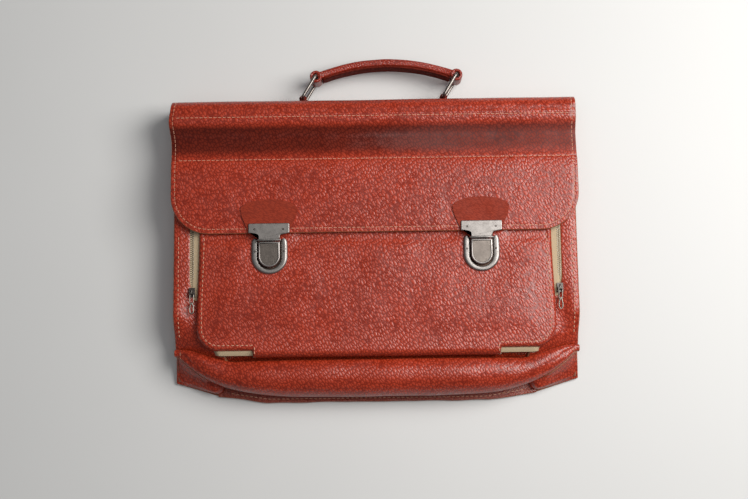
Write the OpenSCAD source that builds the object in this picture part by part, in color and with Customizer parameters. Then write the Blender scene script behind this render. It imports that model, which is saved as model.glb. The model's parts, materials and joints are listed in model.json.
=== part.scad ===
// Leather briefcase with a zip pocket, lying on its back panel.
// +X runs along the width, +Y towards the handle, +Z out of the front.
// The origin is the centre of the back panel's outer face.

/* [Case] */
// Width of the case
body_w = 400; // [360:5:440]
// Distance from the case's centre line to its top edge
top_y = 150; // [140:1:160]
// Distance from the case's centre line to the edge of its bottom seam
seam_y = 149.5; // [145:0.5:155]
// Thickness of the main leather
leather = 2.2; // [1.6:0.1:2.6]
// Thickness of the gusset leather
gusset_t = 1.6; // [1.2:0.1:2]
// Height of the front panel's inner face above the back
front_z = 33.8; // [30:0.1:36]
// Depth of the fold down the middle of each gusset
gusset_fold = 14; // [8:1:24]
// Height that the front panel reaches up the case
front_top_y = 92; // [80:1:100]

/* [Top and flap] */
// Outer radius of the rolled top edge
top_r = 13; // [10:0.5:14]
// Distance of the flap's fold from the centre line
fold_y = 130; // [128:0.5:131]
// Height of the flap's fold
fold_z = 47.2; // [46.8:0.1:47.6]
// Distance of the flap's free edge from the centre line
flap_edge_y = 15.5; // [12:0.5:20]
// Radius of the flap's lower corners
flap_r = 37; // [25:1:45]
// Depth that the flap sags between the rolled top and the lined part
flap_sag = 5; // [0:0.5:6]
// Thickness of the flap's lining
lining_t = 1.3; // [1:0.1:1.4]
// Distance of the flap lining's top edge from the centre line
lining_top_y = 84; // [78:1:88]

/* [Bottom roll] */
// How far the roll reaches from the centre line at its middle
roll_y = 145; // [142:0.5:146]
// Distance of the groove above the roll from the centre line
groove_y = 113; // [110:0.5:115]
// Height of the roll's axis
roll_z = 19; // [18.5:0.5:20]

/* [Zip pocket] */
// Width of the pocket panel
pocket_w = 347; // [330:1:350]
// Distance of the pocket panel's lower edge from the centre line
pocket_low_y = 100; // [98:0.5:101]
// Height of the pocket panel's face
pocket_z = 44; // [43.6:0.1:44.2]
// Distance between the two side runs of the zip
zip_w = 361; // [358:0.2:370]
// Width of each row of teeth
tooth_w = 1.3; // [1:0.1:1.4]
// Gap between the rows that the slider's post runs in
tooth_gap = 0.9; // [0.8:0.1:1.2]
// Height of each slider along the zip
slider_l = 9; // [7:0.5:11]
// Distance of the sliders from the centre line
slider_y = 42; // [35:1:60]
// Length of each zip pull
pull_l = 21; // [16:1:26]

/* [Locks] */
// Distance of each lock from the middle
lock_x = 104; // [95:1:115]
// Width of the lock plate
shield_w = 35.6; // [32:0.2:36]
// Width of the hasp's crossbar
hasp_w = 40.4; // [38:0.2:42]
// Width of the push button
button_w = 20; // [18:0.5:21]
// Height of the push button's top
button_z = 50.4; // [50:0.1:50.8]
// Clearance between the push button and its plate
button_gap = 0.08; // [0.05:0.01:0.1]

/* [Handle] */
// Distance of each ring's fixed bar from the middle
tab_x = 71; // [65:1:80]
// Distance of the rings' fixed bars from the centre line
tab_y = 154.4; // [154.2:0.1:155]
// Height of the handle above the back
handle_z = 20.5; // [20:0.5:21]
// Wire thickness of the rings
wire_d = 3.3; // [3:0.1:3.6]
// Distance between the two bars of a ring
ring_l = 26; // [24:0.5:28]
// Distance between the two arms of a ring
ring_h = 28; // [27.8:0.1:29]
// Angle that the rings lean to the right
ring_lean = 31; // [20:1:35]
// Radius of the handle's arch
arch_r = 185; // [160:1:320]
// Thickness of the handle
grip_t = 8; // [7:0.5:9]
// Height of the handle's section
grip_h = 18; // [16:0.5:20]
// Height of the handle's rolled ends
eye_h = 22; // [20:0.5:22]

/* [Hidden] */
$fn = 64;

hide = [0.66, 0.24, 0.14];
hide_dark = [0.36, 0.13, 0.1];
suede = [0.62, 0.42, 0.28];
tape_colour = [0.76, 0.68, 0.5];
nickel = [0.62, 0.61, 0.58];
steel = [0.5, 0.5, 0.5];

gap = 0.3;                          // kept between soft pieces
front_face = front_z + leather;     // outer face of the front panel
mirror_side = [-1, 1];

// ---------- small helpers ----------

// A block between two corners.
module span(low, high) {
    translate(low) cube(high - low);
}

// A rectangle with round corners, from its lowest to its highest corner.
module round_rect(low, high, r) {
    size = high - low;
    translate(low + [r, 0]) square([size.x - 2 * r, size.y]);
    translate(low + [0, r]) square([size.x, size.y - 2 * r]);
    for (x = [low.x + r, high.x - r], y = [low.y + r, high.y - r])
        translate([x, y]) circle(r);
}

// Extrudes a 2D shape between two heights.
module slab(z0, z1) {
    translate([0, 0, z0]) linear_extrude(z1 - z0) children();
}

// Extrudes a (Y, Z) section along X over the given width.
module along_x(width) {
    translate([-width / 2, 0, 0]) rotate([90, 0, 90]) linear_extrude(width) children();
}

function arc(centre, r, a0, a1, n) =
    [for (i = [0 : n]) let (a = a0 + (a1 - a0) * i / n) centre + r * [cos(a), sin(a)]];

function reversed(list) = [for (i = [len(list) - 1 : -1 : 0]) list[i]];

// ---------- bottom roll: a tapered half-pipe of leather ----------

function roll_rise(t) = let (u = max(0, min(1, (t - 0.69) / 0.31))) u * u * (3 - 2 * u);
function roll_top_y(t) = -groove_y + 15 * roll_rise(t);
function roll_low_y(t) = -roll_y + 43 * pow(t, 5);
function roll_radius(t) = max(4, (roll_top_y(t) - roll_low_y(t)) / 1.5);
function roll_centre(t) = [roll_top_y(t) - roll_radius(t) / 2, roll_z + 3 * pow(t, 4)];

// Angle where the half-pipe ends, just above the back panel or the folded corner.
function roll_end_a(t) =
    let (rest = leather + 0.4 + 3.2 * min(1, max(0, (t - 0.68) / 0.08)))
    180 + asin(min(0.78, (roll_centre(t).y - rest) / roll_radius(t)));

// Points round one section of the half-pipe, outer arc and then inner arc.
function roll_section(t) =
    let (r = roll_radius(t), c = roll_centre(t))
    concat(arc(c, r, roll_a0, roll_end_a(t), roll_steps),
           reversed(arc(c, r - leather, roll_a0, roll_end_a(t), roll_steps)));

roll_a0 = 52;
roll_steps = 13;
roll_stations = 32;
roll_half = body_w / 2 - 2;

module bottom_panel() {
    ring = 2 * (roll_steps + 1);
    points = [for (s = [0 : roll_stations])
        let (x = -roll_half + 2 * roll_half * s / roll_stations)
        for (p = roll_section(abs(x) / roll_half)) [x, p.x, p.y]];
    walls = [for (s = [0 : roll_stations - 1], i = [0 : ring - 1])
        let (a = s * ring + i, b = s * ring + (i + 1) % ring)
        each [[a, b, b + ring], [a, b + ring, a + ring]]];
    end = roll_stations * ring;
    caps = [for (i = [0 : roll_steps - 1])
        let (j = ring - 1 - i)
        each [[i, j, j - 1], [i, j - 1, i + 1],
              [end + i, end + j - 1, end + j], [end + i, end + i + 1, end + j - 1]]];
    color(hide) polyhedron(points, concat(walls, caps), convexity = 6);
}

// ---------- leather body ----------

module back_panel() {
    half = body_w / 2;
    outline = concat([[-half, top_y], [-half, -129], [-158, -142], [-110, -148.5]],
                     [[110, -148.5], [158, -142], [half, -129], [half, top_y]]);
    color(hide) slab(0, leather) polygon(outline);
}

// Lower edge of the front panel, which follows the groove above the roll.
function front_low(x) = roll_top_y(min(1, abs(x) / roll_half)) + 3.6;

module front_panel() {
    half = body_w / 2 - 2.5;
    low = [for (i = [-12 : 12]) let (x = half * i / 12) [x, front_low(x)]];
    color(hide) slab(front_z, front_face)
        polygon(concat([[-half, front_top_y]], low, [[half, front_top_y]]));
}

module bottom_binding() {
    color(hide_dark) slab(leather, leather + 1.6)
        polygon([[-150, -143.5], [-108, -seam_y], [108, -seam_y], [150, -143.5],
                 [146, -139.5], [-146, -139.5]]);
}

// A gusset with one inward fold: a V section run along Y.
module gusset(side) {
    x0 = body_w / 2 - 2.5;
    mid = (leather + front_z) / 2;
    color(hide) mirror([side < 0 ? 1 : 0, 0, 0])
        translate([0, top_y - leather - gap, 0]) rotate([90, 0, 0])
            linear_extrude(top_y - leather - gap + 92)
                polygon([[x0, leather], [x0 - gusset_fold, mid], [x0, front_z],
                         [x0 - 2 * gusset_t, front_z],
                         [x0 - gusset_fold - 2 * gusset_t, mid],
                         [x0 - 2 * gusset_t, leather]]);
}

module gusset_left() gusset(-1);
module gusset_right() gusset(1);

// The folded lower corner of a gusset, two layers lying on the back panel.
module corner_fold(side) {
    lap = leather + 2 * gusset_t;
    x1 = body_w / 2 - 1;
    color(hide) mirror([side < 0 ? 1 : 0, 0, 0]) slab(leather, lap)
        polygon([[x1, -92.5], [x1, -128.5], [157.5, -141.5], [152, -138.5], [185, -92.5]]);
}

module corner_fold_left() corner_fold(-1);
module corner_fold_right() corner_fold(1);

// ---------- rolled top ----------

spine_c = [top_y - top_r, 36];      // centre of the rolled edge in (Y, Z)
spine_end_a = 105;
lip_z = [fold_z - leather / 2, fold_z + leather / 2];

module top_spine() {
    outer = arc(spine_c, top_r, 0, spine_end_a, 16);
    inner = arc(spine_c, top_r - leather, 0, spine_end_a, 16);
    color(hide) difference() {
        along_x(body_w + 2) polygon(concat(
            [[top_y, leather]], outer, [[fold_y + 1.7, lip_z[1]], [fold_y + 1.7, lip_z[0]]],
            reversed(inner), [[top_y - leather, leather]]));
        for (x = rivet_places) translate([x, top_y - leather - 1, handle_z])
            rotate([-90, 0, 0]) cylinder(r = rivet_r, h = leather + 2);
    }
}

stiffener_t = 2;

// Fibre strip inside the top edge that the handle tabs are riveted through.
module handle_stiffener() {
    y = top_y - leather;
    color(suede) difference() {
        span([-tab_x - 22, y - stiffener_t, handle_z - 12], [tab_x + 22, y, handle_z + 12]);
        for (x = rivet_places) translate([x, y - stiffener_t - 1, handle_z])
            rotate([-90, 0, 0]) cylinder(r = rivet_r, h = stiffener_t + 2);
    }
}

// ---------- flap ----------

flap_w = body_w + 1;
flap_top_y = fold_y - 0.8;

// Height of the flap's middle layer at a distance along Y: flat, with one sag.
function sag_at(y) = let (u = (y - lining_top_y) / (flap_top_y - lining_top_y))
    u <= 0 ? 0 : flap_sag * (1 - cos(360 * u)) / 2;
function flap_mid(y) = let (u = max(0, (y - lining_top_y) / (flap_top_y - lining_top_y)))
    fold_z + 0.1 * (1 - u) - sag_at(y);

module flap_outline() {
    half = flap_w / 2;
    square_low = flap_edge_y + flap_r;
    translate([-half, square_low]) square([flap_w, 100]);
    round_rect([-half, flap_edge_y], [half, square_low + flap_r], flap_r);
}

module flap() {
    steps = 24;
    ys = concat([flap_edge_y - 1], [for (i = [0 : steps])
        lining_top_y + (flap_top_y - lining_top_y) * i / steps]);
    top = [for (y = ys) [y, flap_mid(y) + leather / 2]];
    low = [for (y = ys) [y, flap_mid(y) - leather / 2]];
    color(hide) difference() {
        intersection() {
            along_x(flap_w + 2) polygon(concat(top, reversed(low)));
            slab(30, 60) flap_outline();
        }
        hasp_pin_holes();
    }
}

lining_z = [flap_mid(0) - leather / 2 - lining_t, flap_mid(0) - leather / 2];

module flap_lining() {
    half = flap_w / 2 - 1;
    color(suede) difference() {
        slab(lining_z[0], lining_z[1]) intersection() {
            round_rect([-half, flap_edge_y + 1], [half, 200], flap_r - 1);
            translate([-half, 0]) square([2 * half, lining_top_y]);
        }
        for (s = mirror_side) span([s * lock_x - 19, 16.4, lining_z[1] - 0.8],
                                   [s * lock_x + 19, 25.4, lining_z[1] + 1]);
        hasp_pin_holes();
    }
}

// ---------- zip pocket ----------

zip_low = -104.5;                   // lower run of the zip
zip_top = 80;                       // upper run, under the flap
zip_corner = 30;
zip_end_x = 121;                    // the zip stops here on the lower run
teeth_z = [37.4, 39.4];
tape_z = [38.1, 38.7];
pocket_top_y = 70;
pocket_r = 22;

// The area inside the zip's centre line, grown by d.
module zip_area(d) {
    round_rect([-zip_w / 2 - d, zip_low - d], [zip_w / 2 + d, zip_top + d], zip_corner + d);
}

// A band that follows the zip from d0 to d1 outside its centre line.
module zip_band(d0, d1) {
    difference() {
        zip_area(d1);
        zip_area(d0);
        translate([-zip_end_x, zip_low - 30]) square([2 * zip_end_x, 60]);
    }
}

slider_w = 6;

module pocket_frame() {
    half = body_w / 2 - 3;
    lip = slider_w / 2 + 0.4;
    color(hide) difference() {
        slab(front_face, 40.4) polygon([[-half, front_top_y], [half, front_top_y],
            [half, -91], [half - 24, -98], [half - 50, -98], [half - 50, -40],
            [-half + 50, -40], [-half + 50, -98], [-half + 24, -98], [-half, -91]]);
        slab(front_face - 1, 41) zip_area(lip);
        slab(front_face - 1, tape_z[1]) zip_area(8);
    }
}

module pocket_panel() {
    half = pocket_w / 2;
    color(hide) difference() {
        union() {
            slab(tape_z[1], pocket_z)
                round_rect([-half, -pocket_low_y], [half, pocket_top_y], pocket_r);
            slab(tape_z[1], tape_z[1] + leather) translate([3 - zip_end_x, 5 - groove_y])
                square([2 * zip_end_x - 6, 20]);
        }
        slab(tape_z[1] - 1, pocket_z - leather)
            round_rect([-half + 2, -pocket_low_y + 2], [half - 2, pocket_top_y - 2], pocket_r - 2);
        for (s = mirror_side) translate([s * lock_x, 0]) {
            slab(40, 50) button_outline(0.5);
            lock_pin_holes();
        }
    }
}

module zip_tape_outer() {
    color(tape_colour) slab(tape_z[0], tape_z[1]) intersection() {
        zip_band(tooth_gap / 2 + tooth_w, tooth_gap / 2 + tooth_w + 5.5);
        translate([-body_w / 2, -pocket_low_y]) square([body_w, 2 * body_w]);
    }
}

module zip_tape_inner() {
    half = pocket_w / 2 - 5;
    color(tape_colour) slab(tape_z[0], tape_z[1]) difference() {
        zip_area(-tooth_gap / 2 - tooth_w);
        round_rect([-half, -pocket_low_y + 5], [half, pocket_top_y - 5], pocket_r - 5);
        translate([-zip_end_x, zip_low - 30]) square([2 * zip_end_x, 60]);
    }
}

module zip_teeth_outer() {
    color(steel) slab(teeth_z[0], teeth_z[1]) zip_band(tooth_gap / 2, tooth_gap / 2 + tooth_w);
}

module zip_teeth_inner() {
    color(steel) slab(teeth_z[0], teeth_z[1]) zip_band(-tooth_gap / 2 - tooth_w, -tooth_gap / 2);
}

// The clips that close the two lower ends of the zip.
module zip_stops() {
    for (s = mirror_side) color(steel)
        span([s * (zip_end_x - 1.5) - 1.5, zip_low - 1.7, teeth_z[0]],
             [s * (zip_end_x - 1.5) + 1.5, zip_low + 1.7, teeth_z[1]]);
}

bail_z = 42.2;                      // axis of the zip pull
bail_y = -slider_y - 1;
pull_pin_r = 0.7;

module zip_slider(side) {
    w = slider_w;
    color(steel) translate([side * zip_w / 2, 0, 0]) {
        y0 = -slider_y - slider_l / 2;
        y1 = -slider_y + slider_l / 2;
        span([-w / 2, y0, 36.3], [w / 2, y1, 37.1]);
        span([-w / 2, y0, 39.7], [w / 2, y1, 40.6]);
        span([-0.3, y0 + 2, 37], [0.3, y1 - 1, 39.8]);
        for (s = mirror_side) difference() {
            span([s * 1.9 - 0.5, bail_y - 1.6, 40.5], [s * 1.9 + 0.5, bail_y + 1.6, 43.6]);
            translate([s * 1.9 - 1, bail_y, bail_z]) rotate([0, 90, 0])
                cylinder(r = pull_pin_r + 0.05, h = 2);
        }
    }
}

module zip_slider_left() zip_slider(-1);
module zip_slider_right() zip_slider(1);

// The pull: a pin through the slider's two ears, a neck and a ring-ended tongue.
module zip_pull(side) {
    color(steel) translate([side * zip_w / 2, bail_y, bail_z]) {
        translate([-2.4, 0, 0]) rotate([0, 90, 0]) cylinder(r = pull_pin_r, h = 4.8);
        span([-1, -8, -0.6], [1, 0, 0.6]);
        difference() {
            translate([0, 0, -0.6]) linear_extrude(1.2) {
                translate([-2.7, -pull_l + 2.7]) square([5.4, pull_l - 9.4]);
                translate([0, -pull_l + 2.7]) circle(2.7);
                translate([0, -6.7]) circle(2.7);
            }
            translate([0, -pull_l + 4, -1]) cylinder(r = 1.4, h = 2);
        }
    }
}

module zip_pull_left() zip_pull(-1);
module zip_pull_right() zip_pull(1);

// ---------- locks ----------

pin_r = 0.9;
shield_pin = [14, -4];              // lock plate pins from the lock's middle
hasp_pin = [14.6, 20];              // hasp pins from the lock's middle
button_low = -17.5;
button_top = 7.2;
case_z = [36.8, pocket_z - leather];
press = 1.2;

// U-shaped outline of the push button, grown by d.
module button_outline(d) {
    r = button_w / 2 + d;
    translate([-r, button_low + button_w / 2]) square([2 * r, button_top + d - button_low - button_w / 2]);
    translate([0, button_low + button_w / 2]) circle(r);
}

// Outline of the lock plate: an oval below, ears on either side of the hasp above.
module shield_outline(d) {
    a = shield_w / 2 - d;
    oval = arc([0, 0], 1, 180, 360, 24);
    low = [for (p = oval) [a * p.x, -4 + (21.5 - d) * p.y]];
    ear = arc([a - 5, 10.5 - d - 3], 3, 0, 90, 6);
    polygon(concat(low, [[a - 0.6, 2]], ear, [for (p = reversed(ear)) [-p.x, p.y]], [[-a + 0.6, 2]]));
}

module lock_plate(side) {
    color(nickel) translate([side * lock_x, 0, 0]) difference() {
        union() {
            slab(pocket_z, pocket_z + 1.4) shield_outline(0);
            slab(pocket_z + 1.3, pocket_z + 2.4) shield_outline(1.1);
        }
        slab(pocket_z - 1, pocket_z + 4) button_outline(button_gap);
        span([-11.4, button_top - 0.5, pocket_z - 1], [11.4, 12, pocket_z + 4]);
        for (s = mirror_side) translate([s * shield_pin.x, shield_pin.y, 40])
            cylinder(r = pin_r, h = 10);
    }
}

module lock_plate_left() lock_plate(-1);
module lock_plate_right() lock_plate(1);

module lock_pin_holes() {
    for (s = mirror_side) translate([s * shield_pin.x, shield_pin.y, 38])
        cylinder(r = pin_r, h = 8);
}

// Pins that clamp each lock plate through the pocket panel to its case.
module lock_pins() {
    color(steel) for (k = mirror_side, s = mirror_side)
        translate([k * lock_x + s * shield_pin.x, shield_pin.y, 0]) {
            slab(case_z[1] - 0.8, pocket_z + 2.4) circle(pin_r);
            slab(pocket_z + 2.4, pocket_z + 2.8) circle(pin_r + 0.3);
        }
}

// Pressed steel case behind each lock that holds the spring under the button.
module lock_case(side) {
    w = 11.9;
    low = -20;
    high = 9.6;
    color(steel) translate([side * lock_x, 0, 0]) difference() {
        union() {
            span([-w, low, case_z[0]], [w, high, case_z[1]]);
            span([-16.5, -8, case_z[1] - 0.8], [16.5, 1, case_z[1]]);
        }
        span([-w + 0.8, low + 0.8, case_z[0] + 0.8], [w - 0.8, high - 0.8, case_z[1] + 1]);
        for (s = mirror_side) translate([s * shield_pin.x, shield_pin.y, 40])
            cylinder(r = pin_r, h = 4);
    }
}

module lock_case_left() lock_case(-1);
module lock_case_right() lock_case(1);

foot_z = [case_z[0] + 3.6, case_z[0] + 4.6];

module lock_button(side) {
    color(nickel) translate([side * lock_x, 0, 0]) difference() {
        union() {
            slab(foot_z[0], button_z) button_outline(0);
            slab(foot_z[0], foot_z[1]) button_outline(0.9);
        }
        slab(button_z - 0.5, button_z + 1) button_outline(-2.6);
    }
}

module lock_button_left() lock_button(-1);
module lock_button_right() lock_button(1);

spring_r = 3.4;
spring_wire = 0.3;
spring_turns = 3;

// Coil spring between the case's floor and the button's foot.
module lock_spring(side) {
    z0 = case_z[0] + 0.8;
    h = foot_z[0] - z0;
    per_turn = 20;
    rings = spring_turns * per_turn;
    sides = 8;
    points = [for (i = [0 : rings], j = [0 : sides - 1])
        let (a = 360 * i / per_turn, b = 360 * j / sides,
             r = spring_r + spring_wire * cos(b),
             z = spring_wire + 0.01 + (h - 2 * spring_wire - 0.02) * i / rings + spring_wire * sin(b))
        [r * cos(a), r * sin(a), z]];
    walls = [for (i = [0 : rings - 1], j = [0 : sides - 1])
        let (a = i * sides + j, b = i * sides + (j + 1) % sides)
        each [[a, b + sides, b], [a, a + sides, b + sides]]];
    first = [for (j = [0 : sides - 1]) j];
    last = [for (j = [sides - 1 : -1 : 0]) rings * sides + j];
    color(steel) translate([side * lock_x, -5, z0])
        polyhedron(points, concat(walls, [first, last]), convexity = 8);
}

module lock_spring_left() lock_spring(-1);
module lock_spring_right() lock_spring(1);

flap_face = flap_mid(0) + leather / 2;
patch_t = 1.5;
hasp_face = flap_face + patch_t;

// Half-oval leather patch under each hasp.
module lock_patch(side) {
    top = arc([0, 0], 1, 0, 180, 24);
    outline = concat([for (p = top) [28 * p.x, 38 + 10 * p.y]],
                     [[-26.5, 31], [-20.2, flap_edge_y + 0.4], [20.2, flap_edge_y + 0.4], [26.5, 31]]);
    color(hide) translate([side * lock_x, 0, 0]) difference() {
        slab(flap_face, hasp_face) polygon(outline);
        for (s = mirror_side) translate([s * hasp_pin.x, hasp_pin.y, 40]) cylinder(r = pin_r, h = 20);
    }
}

module lock_patch_left() lock_patch(-1);
module lock_patch_right() lock_patch(1);

// The hasp: a crossbar on the flap, a neck, a rolled lip and a nose that dips into the plate.
module hasp(side) {
    half = hasp_w / 2;
    neck = 10.5;
    lip_r = 1.5;
    lip_y = button_top + 0.3 + lip_r;
    color(nickel) translate([side * lock_x, 0, 0]) {
        difference() {
            slab(hasp_face, hasp_face + 1.3) polygon([[-half, 24.6], [half, 24.6], [half, 16.8],
                [neck, 13], [neck, lip_y], [-neck, lip_y], [-neck, 13], [-half, 16.8]]);
            for (s = mirror_side) translate([s * hasp_pin.x, hasp_pin.y, 40])
                cylinder(r = pin_r, h = 20);
        }
        translate([-neck, lip_y, hasp_face + 0.1]) rotate([0, 90, 0]) cylinder(r = lip_r, h = 2 * neck);
        span([-7, lip_y - 0.7, pocket_z + 0.5], [7, lip_y + 0.7, hasp_face]);
    }
}

module hasp_left() hasp(-1);
module hasp_right() hasp(1);

module hasp_pin_holes() {
    for (k = mirror_side, s = mirror_side)
        translate([k * lock_x + s * hasp_pin.x, hasp_pin.y, 40]) cylinder(r = pin_r, h = 20);
}

module hasp_backing(side) {
    color(steel) translate([side * lock_x, 0, 0]) difference() {
        span([-18.8, 16.6, lining_z[1] - 0.8], [18.8, 25.2, lining_z[1]]);
        for (s = mirror_side) translate([s * hasp_pin.x, hasp_pin.y, 40]) cylinder(r = pin_r, h = 20);
    }
}

module hasp_backing_left() hasp_backing(-1);
module hasp_backing_right() hasp_backing(1);

module hasp_pins() {
    color(steel) for (k = mirror_side, s = mirror_side)
        translate([k * lock_x + s * hasp_pin.x, hasp_pin.y, 0]) {
            slab(lining_z[1] - 0.8, hasp_face + 1.3) circle(pin_r);
            slab(hasp_face + 1.3, hasp_face + 1.7) circle(pin_r + 0.3);
        }
}

// ---------- handle ----------

wire_r = wire_d / 2;
pivot_gap = 0.07;
rivet_r = 1.8;
strap_t = 2;
rivet_places = [-tab_x + 13, tab_x - 13];
lean = [sin(ring_lean), cos(ring_lean)];
eye_left = [-tab_x, tab_y] + ring_l * lean;
eye_right = [tab_x, tab_y] + ring_l * lean;

// Leather loop round each ring's bar, with a tail riveted to the top edge.
module handle_tab(side) {
    r = wire_r + pivot_gap;
    tail = tab_x - 6;
    color(hide) mirror([side < 0 ? 1 : 0, 0, 0]) difference() {
        slab(handle_z - eye_h / 2, handle_z + eye_h / 2) union() {
            translate([tab_x, tab_y]) circle(r + strap_t);
            translate([tab_x - 26, top_y]) square([26, strap_t]);
        }
        translate([tab_x, tab_y, handle_z - 12]) cylinder(r = r, h = 24);
        translate([tab_x - 13, top_y - 1, handle_z]) rotate([-90, 0, 0])
            cylinder(r = rivet_r, h = strap_t + 2);
        span([tab_x - 10, top_y - 5, handle_z - 12], [tab_x + 10, top_y, handle_z + 12]);
    }
}

module handle_tab_left() handle_tab(-1);
module handle_tab_right() handle_tab(1);

module tab_rivets() {
    y0 = top_y - leather - stiffener_t - 1;
    y1 = top_y + strap_t;
    color(nickel) for (x = rivet_places) translate([x, 0, handle_z]) {
        translate([0, y0, 0]) rotate([-90, 0, 0]) cylinder(r = rivet_r, h = y1 - y0);
        translate([0, y1, 0]) rotate([-90, 0, 0]) cylinder(r = 3.6, h = 1);
        translate([0, y0, 0]) rotate([-90, 0, 0]) cylinder(r = 3.6, h = 1);
    }
}

// Square wire ring standing on edge, from its fixed bar at the origin along +Y.
module wire_ring() {
    c = 2.8;                        // bend radius at the corners
    h = ring_h / 2;
    for (y = [0, ring_l]) translate([0, y, -h + c]) cylinder(r = wire_r, h = ring_h - 2 * c);
    for (z = [-h, h]) translate([0, c, z]) rotate([-90, 0, 0])
        cylinder(r = wire_r, h = ring_l - 2 * c);
    for (flip_y = [0, 1], flip_z = [0, 1])
        translate([0, ring_l / 2, 0]) mirror([0, flip_y, 0]) mirror([0, 0, flip_z])
            translate([0, ring_l / 2 - c, h - c]) rotate([90, 0, 90]) rotate_extrude(angle = 90)
                translate([c, 0]) circle(wire_r);
}

module ring(side) {
    color(nickel) translate([side * tab_x, tab_y, handle_z]) rotate([0, 0, -ring_lean]) wire_ring();
}

module ring_left() ring(-1);
module ring_right() ring(1);

half_chord = tab_x;
arch_drop = sqrt(arch_r * arch_r - half_chord * half_chord);
arch_c = (eye_left + eye_right) / 2 - [0, arch_drop];
arch_a = asin(half_chord / arch_r);
eye_r = 5.6;
underlay_t = 1.6;
end_a = 2.2;                        // the underlay stops this many degrees short of the eyes

// A bar bent to the handle's arch: thickness from r0 to r1, height h, half angle a.
module arch_bar(r0, r1, h, a) {
    translate([arch_c.x, arch_c.y, handle_z]) rotate([0, 0, 90 - a]) rotate_extrude(angle = 2 * a, $fn = 180)
        translate([arch_r + r0, -h / 2]) square([r1 - r0, h]);
}

module handle_grip() {
    color(hide) difference() {
        union() {
            arch_bar(-grip_t / 2 + underlay_t, grip_t / 2, grip_h, arch_a);
            for (p = [eye_left, eye_right]) translate([p.x, p.y, handle_z - eye_h / 2])
                cylinder(r = eye_r, h = eye_h);
        }
        arch_bar(-1, 2, 11, arch_a - 4);
        translate([eye_left.x, eye_left.y, handle_z - 15]) cylinder(r = wire_r + pivot_gap, h = 30);
        translate([eye_right.x, eye_right.y, handle_z - 15]) cylinder(r = wire_r + 0.5, h = 30);
    }
}

module handle_underlay() {
    color(hide_dark) arch_bar(-grip_t / 2, -grip_t / 2 + underlay_t, grip_h, arch_a - end_a);
}

module handle_core() {
    color(suede) arch_bar(-1, 2, 11, arch_a - 4);
}

back_panel();
front_panel();
bottom_panel();
bottom_binding();
gusset_left();
gusset_right();
corner_fold_left();
corner_fold_right();
top_spine();
handle_stiffener();
flap();
flap_lining();
pocket_frame();
pocket_panel();
zip_tape_outer();
zip_tape_inner();
zip_teeth_outer();
zip_teeth_inner();
zip_stops();
zip_slider_left();
zip_slider_right();
zip_pull_left();
zip_pull_right();
lock_plate_left();
lock_plate_right();
lock_pins();
lock_case_left();
lock_case_right();
lock_button_left();
lock_button_right();
lock_spring_left();
lock_spring_right();
lock_patch_left();
lock_patch_right();
hasp_left();
hasp_right();
hasp_backing_left();
hasp_backing_right();
hasp_pins();
handle_tab_left();
handle_tab_right();
tab_rivets();
ring_left();
ring_right();
handle_grip();
handle_underlay();
handle_core();
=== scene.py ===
"""Leather briefcase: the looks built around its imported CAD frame.

Shapes are worked out in millimetres and turned into metres when a mesh is made.
"""

import json
import math

import bmesh
import bpy
import numpy as np
from mathutils import Matrix, Vector

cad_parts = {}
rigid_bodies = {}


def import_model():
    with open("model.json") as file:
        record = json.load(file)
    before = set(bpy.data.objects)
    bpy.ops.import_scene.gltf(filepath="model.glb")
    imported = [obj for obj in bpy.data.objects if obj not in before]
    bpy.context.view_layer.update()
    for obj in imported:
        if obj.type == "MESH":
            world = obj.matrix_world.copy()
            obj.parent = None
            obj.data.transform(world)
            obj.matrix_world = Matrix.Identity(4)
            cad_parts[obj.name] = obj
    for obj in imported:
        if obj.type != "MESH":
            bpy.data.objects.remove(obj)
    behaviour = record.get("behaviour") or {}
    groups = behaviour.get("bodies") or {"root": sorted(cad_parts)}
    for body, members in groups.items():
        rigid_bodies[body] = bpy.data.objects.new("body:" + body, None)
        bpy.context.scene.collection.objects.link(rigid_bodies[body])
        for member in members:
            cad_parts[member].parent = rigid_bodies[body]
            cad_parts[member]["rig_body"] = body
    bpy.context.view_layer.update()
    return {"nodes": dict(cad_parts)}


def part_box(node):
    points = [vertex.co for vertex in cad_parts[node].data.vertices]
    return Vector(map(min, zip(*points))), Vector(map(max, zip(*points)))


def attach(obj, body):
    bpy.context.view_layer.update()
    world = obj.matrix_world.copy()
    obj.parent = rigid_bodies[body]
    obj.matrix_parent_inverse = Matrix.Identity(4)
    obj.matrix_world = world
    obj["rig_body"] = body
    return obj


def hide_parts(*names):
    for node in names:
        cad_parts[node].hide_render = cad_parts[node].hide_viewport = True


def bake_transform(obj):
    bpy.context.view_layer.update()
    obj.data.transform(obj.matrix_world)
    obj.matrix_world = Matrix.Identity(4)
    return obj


MM = 0.001

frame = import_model()


# ---------- sizes, from the frame ----------


def box_mm(node):
    """Lowest and highest corner of a CAD node, in millimetres."""
    low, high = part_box(node)
    return np.array(low) / MM, np.array(high) / MM


HALF_W, TOP_Y, HIDE = box_mm("back_panel")[1]  # half width, top edge, leather thickness
flap_low, flap_high = box_mm("flap")
FLAP_HALF, FLAP_Y, FLAP_Z = flap_high[0], flap_low[1], flap_high[2]
FLAP_R = 37
SPINE_Z = box_mm("top_spine")[1][2]
TOP_R = 13
FOLD_Y = box_mm("top_spine")[0][1]  # the rolled top's front lip
LINING_Y = box_mm("flap_lining")[1][1]
front_high = box_mm("front_panel")[1]
FRONT_Z, FRONT_HALF, FRONT_Y = front_high[2], front_high[0], front_high[1]
RIM_Z = box_mm("pocket_frame")[1][2]
pocket_low, pocket_high = box_mm("pocket_panel")
POCKET_HALF, POCKET_TOP, POCKET_Z = pocket_high
TONGUE_Y = pocket_low[1]
POCKET_Y, POCKET_R = -100, 22
TONGUE_Z, EDGE_TURN = 35.6, 4.5  # the tongue's lower end, and the width of the pocket's turned edge
TAPE_Z = box_mm("zip_tape_inner")[1][2]
teeth_low, teeth_high = box_mm("zip_teeth_outer")
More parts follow.
